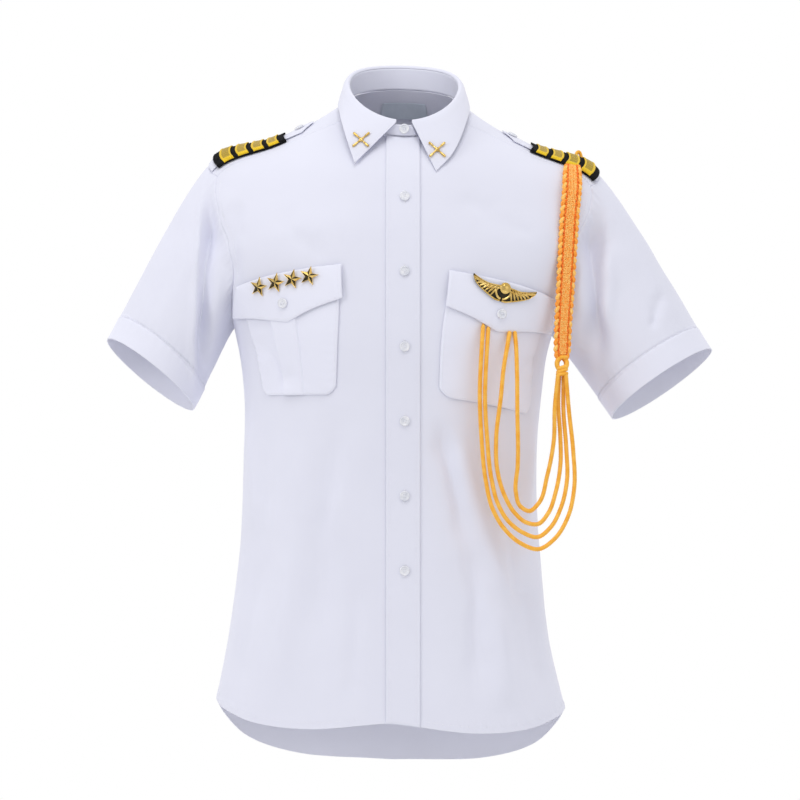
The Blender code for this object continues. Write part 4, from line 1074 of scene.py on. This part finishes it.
def make_cords():
    """The four cords that loop from the braid's knot to under the pocket flap."""
    for number, points in enumerate(CORDS, 1):
        path = route(points, 0.62)
        tucked = np.linspace(8, 0.6, 13)[:, None]
        ahead = (path[0] - path[8]) / np.linalg.norm(path[0] - path[8])
        under = np.array([0, 2.4, 0]) * (1 - np.exp(-tucked / 1.3))
        path = np.concatenate([path[0] + tucked * ahead + under, path])
        run = runs_along(path)
        thick = (CORD_DIAMETER / 2 + 0.15) * np.interp(run, (0, 5.6, 8.8), (0.4, 0.48, 1))
        verts, faces = tube(path, thick, 12, cord_ribs(run * 2 * np.pi / 2.0))
        obj = make(f"cord_{number}_laid", verts, faces, "cord", slot="orange_cord", node=f"cord_{number}")


def make_braid():
    """The flat braid, tied of crossing strands with a scallop at each side, and its knot."""
    middle = route(BRAID, 0.5)
    tucked = np.linspace(12, 0.5, 24)[:, None]
    ahead = (middle[0] - middle[16]) / np.linalg.norm(middle[0] - middle[16])
    middle = np.concatenate([middle[0] + tucked * ahead + tucked**2 * [0, 0.034, -0.01], middle])
    run = runs_along(middle)
    length = run[-1]
    sideways = np.array([0.96, 0.28, 0.0])

    def at(along, aside, out):
        along = np.clip(along, 0, length)
        here = read_path(middle, run, along)
        ahead = read_path(middle, run, along + 1)
        ahead -= read_path(middle, run, along - 1)
        forward = np.cross(ahead, np.broadcast_to(sideways, ahead.shape))
        forward /= np.linalg.norm(forward, axis=-1, keepdims=True)
        forward *= -np.sign(forward[..., 1:2])
        return here + np.multiply.outer(aside, sideways) + forward * np.multiply.outer(out, np.ones(3))

    parts, kinds = [], []

    def lay(path, radius, kind, sides=8):
        parts.append(tube(path, radius, sides))
        kinds.extend([kind] * len(parts[-1][1]))

    def width(along):
        """The braid's half width, gathered under the slide and narrowing towards its knot."""
        ends = 3.2 * np.clip(1 - along / 34, 0, 1) ** 2 + 3.4 * np.clip((along - length + 9) / 9, 0, 1) ** 2
        return 12.6 - 2.4 * (along / length) ** 2 - ends

    t = np.linspace(-1, 1, 5)
    pitch = 2.7
    for row in range(int((length - 2) / pitch)):
        s = 1.6 + row * pitch
        for column in range(5):
            aside = (column - 2) * 0.185 * width(s) + 0.35 * np.sin(1.7 * row + column)
            slant = 1.5 if column % 2 else -1.5
            strand = at(s + slant * t, 0.9 * aside + 0.8 * t, 1.5 + 0.55 * np.cos(t * 1.5))
            lay(strand, 1.15 * np.cos(t * 0.7), 0, 6)
    for s in np.arange(1.5, length - 1, 2.4):
        lay(at(s + 0 * t, 0.66 * width(s) * t, -0.4 + 0 * t), 1.9, 0, 6)
    for sign in (-1, 1):
        s = np.linspace(0.5, length - 1, 320)
        turn = 2 * np.pi * s
        aside = sign * (0.5 * width(s) + 0.5 * np.sin(turn / LOOP_PITCH))
        lay(at(s, aside, 2.0 + 0.4 * np.cos(turn / 5)), 1.05 + 0.3 * np.cos(turn / 2.5), 2, 6)
    swell = np.linspace(0, np.pi, 12)
    for sign in (-1, 1):
        for loop in range(int(length / LOOP_PITCH) + 1):
            first = loop * LOOP_PITCH + (2.0 if sign > 0 else 0.0)
            s = np.clip(first + np.linspace(-0.9, LOOP_PITCH + 0.9, 12), 0, length)
            path = at(s, sign * width(s) * (0.6 + 0.2 * np.sin(swell)), 0.4 + 1.2 * np.cos(swell))
            lay(path, 1.35 + 1.25 * np.sin(swell), 1 if loop % 2 else 3, 10)
    finishes = ["braid", "braid_side", "braid_line", "braid_turn"]
    braid = make("braid_tied", *joined(parts), finishes, kinds=kinds, slot="orange_cord", node="braid")
    knot = make_knot()
    over = np.linspace(0, np.pi, 16)
    seat = np.array([210.5, 16, -58.0])
    loop = seat + np.stack([4.2 * np.cos(over), 2.0 * np.cos(over), 19 * np.sin(over) ** 0.7], -1)
    bow = make("braid_loop_tied", *tube(loop, 2.1, 10), "cord", slot="orange_cord")


def make_knot():
    """The pear-shaped knot under the braid: two strands part round a gap and cross under the wraps."""
    centre = np.array(KNOT_CENTRE, float)
    t = np.linspace(0, 1, 24)
    parts = []
    for sign in (-1, 1):
        x = sign * (0.8 + 5.6 * np.sin(np.pi * t**0.8) - 3.4 * t**2)
        strand = np.stack([x, -1.2 + 1.5 * sign * np.cos(np.pi * t), 12.5 - 22 * t], -1)
        parts.append(tube(centre + strand, 2.3 + 0.5 * np.sin(np.pi * t), 10))
        rear = np.stack([x * 0.8, 2.6 + 0 * t, 10.5 - 19 * t], -1)
        parts.append(tube(centre + rear, 2.2, 8))
    turn = np.linspace(0, 2 * np.pi, 25)
    for height, size, tilt in ((-0.4, 4.6, 0.35), (-4.2, 5.0, 0.3), (-8.0, 5.3, 0.1), (11.6, 4.6, 0.05)):
        level = size * np.cos(turn)
        ring = np.stack([level + 0.3, 0.85 * size * np.sin(turn), height + tilt * level], -1)
        parts.append(tube(centre + ring, 2.2, 8))
    return make("braid_knot_tied", *joined(parts), "cord", slot="orange_cord", node="braid_knot")


def make_stars():
    """Four faceted stars: a gold edge with facets inside, every other one and one more painted dark as shade.
    """
    for number, corner in enumerate(STARS, 1):
        turn = np.radians(np.arange(10) * 36 + 90)
        size = np.where(np.arange(10) % 2 == 0, STAR_RADIUS, STAR_RADIUS * 0.4)
        outline = np.stack([size * np.cos(turn), size * np.sin(turn)], -1)
        levels = [(1.0, -0.9), (1.0, 0.0), (0.93, 0.5), (0.85, 0.3)]
        verts = [(*(outline[k] * share), z) for share, z in levels for k in range(10)]
        verts += [(0, 0, 2.4), (0, 0, -0.9)]
        faces, kinds = [], []
        for level in range(3):
            for k in range(10):
                n = (k + 1) % 10
                faces.append([level * 10 + k, level * 10 + n, level * 10 + 10 + n, level * 10 + 10 + k])
                kinds.append(0)
        for k in range(10):
            faces.append([30 + k, 30 + (k + 1) % 10, 40])
            # Every other facet, and the fourth, is painted dark as shade; the rest stay gold.
            kinds.append(1 if k % 2 == 0 or k == 3 else 0)
            faces.append([(k + 1) % 10, k, 41])
            kinds.append(0)
        seat, out = front_frame(*corner)
        matrix = standing(seat, out, FLAP_LIFT + WALL / 2 + SEAM_GAP + 0.9, math.radians(-12))
        make(f"star_{number}_cut", placed(verts, matrix), faces, ["gold", "dark_metal"], smooth_shade=False,
             kinds=kinds, slot="gold_metal", node=f"star_{number}")


def make_wings():
    """A generic winged badge: rows of feathers on a back plate painted dark as shade between them, and a
    plain domed disc.
    """
    left, right = (locate(*corner) for corner in WINGS)
    rows_per_mm = (locate(WINGS_CENTRE.x, WINGS_CENTRE.height - 10) - locate(*WINGS_CENTRE))[1] / 10
    centre = locate(*WINGS_CENTRE)

    def on_flap(u, v, lift):
        """Points of the badge, u along it from its middle and v up, in millimetres."""
        u, v, lift = np.broadcast_arrays(np.asarray(u, float), v, lift)
        share = (u.ravel() / WINGS_HALF * np.where(u.ravel() > 0, 0.93, 1))[:, None]
        bow = (left + right) / 2 - centre
        place = centre + (right - left) / 2 * share + bow * share**2
        place[:, 1] -= v.ravel() * rows_per_mm
        points = on_shirt(place[:, 0], place[:, 1], FLAP_LIFT + WALL / 2 + 0.2 + lift.ravel())
        return points.reshape(*u.shape, 3)

    stations, tops, lows = zip(*WING_STATIONS)
    parts, kinds = [], []

    def blade(u, v, wide, lift, kind=0):
        """One raised feather along a line, rounded across."""
        cross = np.array([-1, -0.5, 0, 0.5, 1])
        run = np.stack([np.gradient(u), np.gradient(v)], -1)
        run /= np.linalg.norm(run, axis=1, keepdims=True)
        height = lift + 0.75 * (1 - cross**2)[None, :] + np.zeros((len(u), 1))
        aside, ahead = run[:, 1:] * wide[:, None] * cross, run[:, :1] * wide[:, None] * cross
        points = on_flap(u[:, None] - aside, v[:, None] + ahead, height)
        faces, _ = grid_faces(len(u), 5)
        parts.append((points.reshape(-1, 3), faces))
        kinds.extend([kind] * len(faces))

    t = np.linspace(0, 1, 12)
    for sign in (-1, 1):
        for k in range(9):
            start = 0.14 + 0.085 * k
            stop = min(start + 0.2 + 0.016 * k, 0.985)
            u = start + (stop - start) * t**0.9
            top = np.interp(start, stations, tops) - 2.0
            low = np.interp(stop, stations, lows) + 0.6
            v = top + (low - top) * t ** (1.25 + 0.05 * k)
            wide = (1.2 - 0.04 * k) * np.sin(np.pi * (0.16 + 0.8 * t)) ** 0.5
            blade(sign * WINGS_HALF * u, v, wide, 1.0 + 0.03 * k)
        u = np.linspace(0.1, 0.97, 30)
        blade(sign * WINGS_HALF * u, np.interp(u, stations, tops) - 0.7, 0.9 - 0.5 * u, 1.7)
        u = np.linspace(0.03, 0.98, 34)
        blade(sign * WINGS_HALF * u, np.interp(u, stations, lows) + 0.7, 0.9 - 0.4 * u, 1.5)
        u = np.linspace(0.16, 0.56, 16)
        blade(sign * WINGS_HALF * u, np.interp(u, stations, tops) - 3.4 - 2.2 * u, np.full(16, 0.7), 1.9)
        turn = np.linspace(0.15, 1.45, 14)
        blade(sign * 8.6 * np.cos(turn), -2.0 - 10.5 * np.sin(turn), np.full(14, 1.1), 1.8)
    # The back plate shows between the feathers and is painted dark as shade.
    u = np.concatenate([-np.linspace(1, 0, 41), np.linspace(0, 1, 41)[1:]])
    top, low = np.interp(np.abs(u), stations, tops), np.interp(np.abs(u), stations, lows)
    v = low[:, None] + (top - low)[:, None] * np.linspace(0, 1, 9)[None, :]
    lift = np.full(v.shape, 0.75)
    lift[:, [0, -1]] = 0.1
    plate = on_flap((u * WINGS_HALF)[:, None] + 0 * v, v, lift)
    faces, _ = grid_faces(81, 9)
    parts.append((plate.reshape(-1, 3), faces))
    kinds += [1] * len(faces)
    make("wings_feathers", *joined(parts), ["gold", "dark_metal"], kinds=kinds, slot="gold_metal",
         node="wings_badge")
    profile = [(0, 2.6), (2.0, 2.45), (3.6, 1.9), (4.6, 1.1), (5.0, 0.9), (5.4, 1.3), (6.0, 1.5),
               (6.5, 1.1), (6.6, 0.0)]
    seat, out = front_frame(*WINGS_CENTRE)
    verts, faces = lathe(profile, 40)
    make("wings_disc_domed", placed(verts, standing(seat, out, FLAP_LIFT + WALL / 2 + 1.7)), faces, "gold",
         slot="gold_metal", node="wings_disc")


def lathe(profile, sides):
    """Points and faces of a round shape from its radii and heights."""
    turn = np.linspace(0, 2 * np.pi, sides, endpoint=False)
    verts = [(r * math.cos(a), r * math.sin(a), z) for r, z in profile for a in turn]
    faces, _ = grid_faces(len(profile), sides + 1, closed=True)
    return verts, faces


def make_pins():
    """Two generic collar pins: crossed tapering bars with ball ends and a small boss."""
    for side, angle, share in COLLAR_PINS:
        parts = []
        for k, spin in enumerate((45, -45)):
            a = math.radians(spin)
            t = np.linspace(-1, 1, 21)
            height = 0.4 + 1.0 * k * np.exp(-((t / 0.3) ** 2))
            path = np.stack([PIN_ARM * t * math.cos(a), PIN_ARM * t * math.sin(a), height], -1)
            thick = 1.15 + 0.3 * np.cos(t * 9) * (np.abs(t) > 0.3) + 0.45 * (np.abs(t) > 0.84)
            parts.append(tube(path, thick, 8))
        parts.append(lathe([(0, 2.2), (1.2, 2.1), (2.1, 1.6), (2.6, 0.6), (2.7, 0.0)], 20))
        verts, faces = joined(parts)
        seat, out = collar_frame(angle, share)
        place = standing(seat, out, COLLAR_WALL / 2 + SEAM_GAP + 0.7)
        make(f"collar_pin_{side}_cast", placed(verts, place), faces, "gold", slot="gold_metal",
             node=f"collar_pin_{side}")


def stitched(path, out, pitch=STITCH_PITCH, across=False):
    """Corners of small raised stitches along a path that already lies on the cloth's face."""
    run = runs_along(path)
    places = np.arange(pitch / 2, run[-1], pitch)
    at = read_path(path, run, places)
    ahead = read_path(path, run, places + 0.5)
    ahead -= read_path(path, run, places - 0.5)
    ahead /= np.maximum(np.linalg.norm(ahead, axis=1, keepdims=True), 1e-9)
    up = read_path(out, run, places)
    up /= np.linalg.norm(up, axis=1, keepdims=True)
    side = np.cross(ahead, up)
    if across:
        ahead, side = side, ahead
    long, wide, high = STITCH
    verts = []
    for s, w, h in ((-1, -1, -0.15), (-1, 1, -0.15), (1, 1, -0.15), (1, -1, -0.15),
                    (-0.6, -0.5, high), (-0.6, 0.5, high), (0.6, 0.5, high), (0.6, -0.5, high)):
        verts.append(at + ahead * s * long / 2 + side * w * wide / 2 + up * h)
    verts = np.stack(verts, 1).reshape(-1, 3)
    base = (np.arange(len(places)) * 8)[:, None, None]
    faces = np.array([[4, 5, 6, 7], [0, 1, 5, 4], [1, 2, 6, 5], [2, 3, 7, 6], [3, 0, 4, 7]])[None] + base
    return verts, faces.reshape(-1, 4).tolist()


def seam_row(angle, row, lift, **kind):
    """A row of stitches at angles and rows of the trunk, raised to the top of what it sews."""
    angle, row = np.broadcast_arrays(np.asarray(angle, float), row)
    path = on_shirt(angle, row, lift)
    return stitched(path, on_shirt(angle, row, lift + 1.0) - path, **kind)


def degrees_across(angle, row, distance):
    """How many degrees a distance across is, at each angle and row."""
    here, near = shirt(angle, row), shirt(angle + 0.5, row)
    return distance * 0.5 / np.maximum(np.linalg.norm(near - here, axis=-1), 0.05)


def rows_down(angle, row, distance):
    """How many rows a distance down is, at each angle and row."""
    here, near = shirt(angle, row), shirt(angle, row - 0.02)
    return distance * 0.02 / np.maximum(np.linalg.norm(near - here, axis=-1), 0.05)


def stitch_trunk():
    """Rows of sewing on the placket, hems, seams and cuffs."""
    top = SHELL / 2
    fine = np.linspace(0.05, 8.98, 700)
    sewn = []
    for x in (PLACKET_X[0] + PLACKET_STITCH, PLACKET_X[1] - PLACKET_STITCH):
        sewn.append(seam_row(angle_at_x(x, fine), fine, PLACKET_LIFT + top - 0.15))
    for first, last in ((-88.0, -8.0), (8.0, 88.0), (94.0, 266.0)):
        angle = np.linspace(first, last, 500)
        up = rows_down(angle, np.full(500, float(LAST_ROW)), HEM_STITCH)
        sewn.append(seam_row(angle, LAST_ROW - up, top + 0.1))
    for sign in (-1, 1):
        rows = np.linspace(0.04, 1.97, 160)
        angle = np.full(160, sign * FRONT_SEAM_ANGLE)
        sewn.append(seam_row(angle + sign * degrees_across(angle, rows, SEAM_STITCH), rows, top))
        rows = np.linspace(2.04, 3.85, 120)
        for edge, inward in ((front_edge(rows), -1), (back_edge(rows), 1)):
            sewn.append(seam_row(sign * (edge + inward * degrees_across(sign * edge, rows, 7.0)), rows, top))
    angle = np.linspace(117, 243, 300)
    sewn.append(seam_row(angle, 2 - rows_down(angle, np.full(300, 2.0), SEAM_STITCH), top))
    for side in ("right", "left"):
        points = sleeve_points(side, np.linspace(0.75, 1, 60), 241)
        down = grid_runs(points)[1]
        path = np.array([read_path(points[:, j], down[:, j], down[-1, j] - CUFF_BAND) for j in range(241)])
        out = path - path.mean(axis=0)
        out /= np.linalg.norm(out, axis=1, keepdims=True)
        sewn.append(stitched(path + out * (top + 0.25), out))
    make("stitches_trunk", *joined(sewn), "thread", slot="shirt_cloth")


def stitch_pockets():
    """Rows of sewing round the flaps and the pockets."""
    top = SHELL / 2
    sewn = []
    for side in FLAP:
        aside, low, point = FLAP_STITCH / 120, 1 - FLAP_STITCH / 36, 1 - FLAP_STITCH / 46
        corners = [(aside, 0.02), (aside, low), (0.5, point), (1 - aside, low), (1 - aside, 0.02)]
        for (u1, v1), (u2, v2) in zip(corners, corners[1:]):
            t = np.linspace(0, 1, 60)
            u, v = u1 + (u2 - u1) * t, v1 + (v2 - v1) * t
            place = flap_place(side, u, v)
            lift = FLAP_LIFT - 2.6 * (1 - v) ** 3 + top - 0.05
            sewn.append(seam_row(place[:, 0], place[:, 1], lift))
        pocket = [locate(*corner) for corner in POCKET[side][:4]]
        edge = POCKET_STITCH / 108
        u = np.concatenate([np.full(60, edge), np.linspace(edge, 1 - edge, 80), np.full(60, 1 - edge)])
        v = np.concatenate([np.linspace(0.03, 0.98, 60), np.full(80, 0.98), np.linspace(0.98, 0.03, 60)])
        place = pocket_place(pocket, u, v)
        sewn.append(seam_row(place[:, 0], place[:, 1], POCKET_LIFT + top - 0.05))
    make("stitches_pockets", *joined(sewn), "thread", slot="shirt_cloth")


def stitch_collar():
    """Rows of sewing along the edges of the collar."""
    sewn = []
    for sign in (-1, 1):
        angle = sign * np.linspace(9.5, 180, 260)
        share = np.full(260, 0.935)
        path, inner = fall_points(angle, share), fall_points(angle, share - 0.02)
        sewn.append(collar_row(path, inner, angle))
        share = np.linspace(0.34, 0.93, 60)
        angle = np.full(60, sign * 10.6)
        sewn.append(collar_row(fall_points(angle, share), fall_points(angle + sign, share), angle))
    make("stitches_collar", *joined(sewn), "thread", slot="shirt_cloth")


def stitch_straps():
    """Rows of sewing along both sides of the shoulder straps."""
    sewn = []
    for side, strap in STRAP.items():
        sign = SIGN[side]
        half, tip = STRAP_WIDTH / 2, strap.length - STRAP_TIP
        for k in (-1, 1):
            d = np.concatenate([np.linspace(1, tip, 80), np.linspace(tip, strap.length - 3.6, 20)])
            a = k * (np.interp(d, [0, tip, strap.length], [half, half - 4, 0.6]) - SEAM_STITCH)
            path = on_strap(sign, d, a, np.full(100, STRAP_LIFT + 0.45))
            sewn.append(stitched(path, on_strap(sign, d, a, np.full(100, STRAP_LIFT + 1.5)) - path))
    make("stitches_straps", *joined(sewn), "thread", slot="shirt_cloth")


def collar_row(path, inner, angle):
    """A row of stitches on the collar, along a path beside an inner one."""
    out = np.cross(np.gradient(path, axis=0), inner - path)
    out /= np.maximum(np.linalg.norm(out, axis=1, keepdims=True), 1e-9)
    out *= np.sign((out * outwards(angle, 0.4)).sum(-1, keepdims=True))
    return stitched(lean(path + out * 0.72), out)


def make_buttonholes():
    """A worked buttonhole behind each front button: a ring of close stitches round a slit."""
    parts = []
    for height in FRONT_BUTTON_HEIGHTS:
        seat, out = front_frame(0.5, height)
        t = np.linspace(0, 2 * np.pi, 40)
        tall = 5.9 * np.cos(t) + 1.4 * np.sign(np.cos(t)) * np.abs(np.cos(t)) ** 0.3
        ring = np.stack([1.5 * np.sin(t), tall, 0 * t], -1)
        path = placed(ring, standing(seat, out, PLACKET_LIFT + SHELL / 2 + 0.02))
        parts.append(stitched(path, np.tile(np.array(out), (40, 1)), 0.75, across=True))
    make("buttonholes", *joined(parts), "thread", slot="shirt_cloth")


class Shader:
    """A material being built from nodes."""

    def __init__(self, name, color, roughness, metallic=0.0, **uniform):
        self.made = bpy.data.materials.new(name)
        self.made.use_nodes = True
        self.tree = self.made.node_tree
        self.main = self.tree.nodes["Principled BSDF"]
        self.main.inputs["Base Color"].default_value = (*color, 1)
        self.main.inputs["Roughness"].default_value = roughness
        self.main.inputs["Metallic"].default_value = metallic
        for socket, value in uniform.items():
            self.main.inputs[socket.replace("_", " ")].default_value = value
        MATERIALS[name] = self.made

    def node(self, kind, inputs=None, **settings):
        node = self.tree.nodes.new(kind)
        for key, value in settings.items():
            setattr(node, key, value)
        for key, value in (inputs or {}).items():
            if hasattr(value, "links"):
                self.tree.links.new(value, node.inputs[key])
            else:
                node.inputs[key].default_value = value
        return node

    def math(self, operation, a, b=0.0):
        return self.node("ShaderNodeMath", {0: a, 1: b}, operation=operation).outputs[0]

    def place(self, kind="UV"):
        return self.node("ShaderNodeTexCoord").outputs[kind]

    def noise(self, scale, detail=2.0):
        inputs = {"Vector": self.place("Object"), "Scale": scale, "Detail": detail}
        return self.node("ShaderNodeTexNoise", inputs).outputs["Fac"]

    def ramp(self, value, low, high, from_low=0.3, from_high=0.7):
        """A colour between low and high as value goes between two levels."""
        made = self.node("ShaderNodeValToRGB", {"Fac": value})
        first, last = made.color_ramp.elements
        first.position, last.position = from_low, from_high
        first.color, last.color = (*low, 1), (*high, 1)
        return made.outputs["Color"]

    def color(self, output):
        self.tree.links.new(output, self.main.inputs["Base Color"])

    def mottle(self, noise, *levels):
        """Colours the material unevenly, by noise of a scale and detail."""
        self.color(self.ramp(self.noise(*noise), *levels))

    def rough(self, value, low, high):
        inputs = {"Value": value, "From Min": 0.25, "From Max": 0.75, "To Min": low, "To Max": high}
        made = self.node("ShaderNodeMapRange", inputs)
        self.tree.links.new(made.outputs["Result"], self.main.inputs["Roughness"])

    def bump(self, height, strength, distance, under=None):
        inputs = {"Height": height, "Strength": strength, "Distance": distance}
        if under is not None:
            inputs["Normal"] = under
        made = self.node("ShaderNodeBump", inputs).outputs["Normal"]
        self.tree.links.new(made, self.main.inputs["Normal"])
        return made

    def waves(self, pitch, turn=0.0, bend=0.0):
        """Ridges of a pitch in metres across the UV, turned by an angle, from 0 to 1."""
        u, v, _ = self.node("ShaderNodeSeparateXYZ", {0: self.place()}).outputs
        c, s = math.cos(turn) * 2 * math.pi / pitch, math.sin(turn) * 2 * math.pi / pitch
        phase = self.math("ADD", self.math("MULTIPLY", u, c), self.math("MULTIPLY", v, s))
        if bend:
            phase = self.math("ADD", phase, self.math("MULTIPLY", self.noise(160.0), bend))
        return self.math("MULTIPLY_ADD", self.math("SINE", phase), 0.5)


CLOTH_LOW, CLOTH_HIGH = (0.745, 0.752, 0.862), (0.765, 0.772, 0.882)


def make_materials():
    for name, bright in (("cloth", 1.0), ("cloth_double", 1.055)):
        cloth = Shader(name, (0.8, 0.82, 0.9), 0.82, Sheen_Weight=0.18, Sheen_Roughness=0.45)
        low, high = (tuple(bright * each for each in tone) for tone in (CLOTH_LOW, CLOTH_HIGH))
        cloth.mottle((9.0, 4.0), low, high)
        cloth.rough(cloth.noise(60.0), 0.74, 0.9)
        twill = cloth.math("MULTIPLY", cloth.waves(0.0009, 0.75, 0.8), cloth.waves(0.00055, math.pi / 2))
        weave = cloth.bump(twill, 0.25, 0.00006)
        cloth.bump(cloth.noise(420.0, 3.0), 0.22, 0.00018, weave)

    slide = Shader("slide", (0.006, 0.006, 0.007), 0.85, Specular_IOR_Level=0.15)
    slide.mottle((240.0,), (0.003, 0.003, 0.0035), (0.011, 0.011, 0.012))
    slide.bump(slide.math("MULTIPLY", slide.waves(0.0012), slide.waves(0.0025, math.pi / 2)), 0.7, 0.0003)

    for name, low, high in (
        ("lace_frame", (0.7, 0.46, 0.006), (1.0, 0.68, 0.02)),
        ("lace_centre", (0.2, 0.12, 0.006), (0.78, 0.54, 0.02)),
    ):
        lace = Shader(name, high, 0.42, 0.35)
        pattern = lace.math("MULTIPLY", lace.waves(0.0016, 0.8), lace.waves(0.0016, -0.8))
        grain = lace.math("MULTIPLY", lace.noise(900.0), 0.3)
        lace.color(lace.ramp(lace.math("ADD", pattern, grain), low, high, 0.1, 0.75))
        lace.bump(pattern, 0.6, 0.0002)

    cord = Shader("cord", (0.95, 0.45, 0.03), 0.45, Specular_IOR_Level=0.3)
    cord.mottle((120.0,), (0.93, 0.42, 0.03), (1.0, 0.56, 0.09))
    cord.bump(cord.noise(1500.0), 0.35, 0.0002)
    for name, low, high in (
        ("braid", (0.98, 0.33, 0.04), (1.0, 0.58, 0.17)),
        ("braid_side", (1.0, 0.46, 0.07), (1.0, 0.66, 0.2)),
        ("braid_line", (0.9, 0.12, 0.008), (0.98, 0.26, 0.02)),
        ("braid_turn", (0.95, 0.27, 0.02), (1.0, 0.44, 0.07)),
    ):
        braid = Shader(name, high, 0.42, Specular_IOR_Level=0.3)
        braid.mottle((600.0, 3.0), low, high, 0.38, 0.6)
        braid.bump(braid.noise(1300.0), 0.45, 0.0003)

    gold = Shader("gold", (0.8, 0.55, 0.17), 0.26, 1.0)
    gold.mottle((90.0,), (0.62, 0.4, 0.1), (0.92, 0.68, 0.26))
    gold.rough(gold.noise(200.0), 0.2, 0.36)
    # Gold painted dark as shade, for the stars' shaded facets and the wings' back plate.
    dark = Shader("dark_metal", (0.02, 0.016, 0.01), 0.34, 0.6)
    dark.mottle((160.0,), (0.008, 0.007, 0.004), (0.045, 0.032, 0.012))

    pearl = Shader("pearl", (0.8, 0.81, 0.86), 0.22, Coat_Weight=0.5, Coat_Roughness=0.12)
    pearl.mottle((170.0, 3.0), (0.66, 0.68, 0.76), (0.88, 0.88, 0.92))
    thread = Shader("thread", (0.82, 0.83, 0.9), 0.6)
    thread.mottle((500.0,), (0.74, 0.75, 0.84), (0.88, 0.88, 0.95))
    thread.bump(thread.noise(2500.0), 0.4, 0.0001)
    label = Shader("label", (0.6, 0.66, 0.74), 0.7)
    label.mottle((60.0,), (0.58, 0.64, 0.72), (0.66, 0.72, 0.8))
    label.bump(label.waves(0.0007), 0.3, 0.0001)
    floor = Shader("floor", (0.95, 0.95, 0.95), 1.0)
    floor.mottle((2.0,), (0.95, 0.95, 0.95), (0.965, 0.965, 0.965))


def lamp(name, place, aim, size, power, tint=(1, 1, 1)):
    """A square soft light at a place, aimed at a point."""
    data = bpy.data.lights.new(name, "AREA")
    data.size, data.energy, data.color = size, power, tint
    obj = bpy.data.objects.new(name, data)
    obj.location = place
    obj.rotation_euler = (Vector(aim) - Vector(place)).to_track_quat("-Z", "Y").to_euler()
    bpy.context.scene.collection.objects.link(obj)


def make_studio():
    """The camera at the photo's angle, a pale world and big soft lights."""
    data = bpy.data.cameras.new("camera")
    data.sensor_width, data.lens = 36, 112.5
    camera = bpy.data.objects.new("camera", data)
    camera.location = CAMERA
    camera.rotation_euler = (math.pi / 2, 0, 0)
    bpy.context.scene.collection.objects.link(camera)
    bpy.context.scene.camera = camera
    world = bpy.data.worlds.new("pale")
    world.use_nodes = True
    tree = world.node_tree
    sides = tree.nodes.new("ShaderNodeSeparateXYZ")
    tree.links.new(tree.nodes.new("ShaderNodeTexCoord").outputs["Generated"], sides.inputs[0])
    fade = tree.nodes.new("ShaderNodeMapRange")
    tree.links.new(sides.outputs["Y"], fade.inputs["Value"])
    for socket, value in zip(("From Min", "From Max", "To Min", "To Max"), (-0.6, 0.6, *WORLD)):
        fade.inputs[socket].default_value = value
    tree.links.new(fade.outputs["Result"], tree.nodes["Background"].inputs["Strength"])
    tree.nodes["Background"].inputs["Color"].default_value = (1, 1, 1, 1)
    bpy.context.scene.world = world
    bpy.context.scene.view_settings.view_transform = "Standard"
    middle = (0, 0, -0.35)
    for each in LAMPS:
        lamp(*each[:2], middle, *each[2:])


def make_floor():
    """A round pale floor under the shirt."""
    turn = np.linspace(0, 2 * np.pi, 97)[:-1]
    verts = np.stack([FLOOR_RADIUS * np.cos(turn), FLOOR_RADIUS * np.sin(turn), 0 * turn + FLOOR_HEIGHT], -1)
    mesh = bpy.data.meshes.new("floor")
    mesh.from_pydata(verts.tolist(), [], [list(range(96))])
    mesh.materials.append(MATERIALS["floor"])
    obj = bpy.data.objects.new("floor", mesh)
    bpy.context.scene.collection.objects.link(obj)


CAMERA = (-0.0048, -3.0, -0.3384)
WORLD = (0.61, 1.0)  # strength before the shirt and behind it
LAMPS = (
    ("key", (-2.5, -1.9, 0.6), 1.1, 19.5),
    ("fill", (2.4, -2.0, 0.1), 2.2, 9),
    ("top", (0.0, -1.3, 2.0), 1.2, 19),
)

make_materials()
make_studio()
make_floor()
make_cords()
make_braid()
make_trunk()
make_placket()
make_sleeves()
make_collar()
make_pockets()
make_flaps()
make_straps()
DISC = disc_with_holes(BUTTON_RADIUS, 1.9, 0.62, 1.1)
make_buttons()
make_stars()
make_wings()
make_pins()
make_label()
stitch_trunk()
stitch_pockets()
stitch_collar()
stitch_straps()
make_buttonholes()
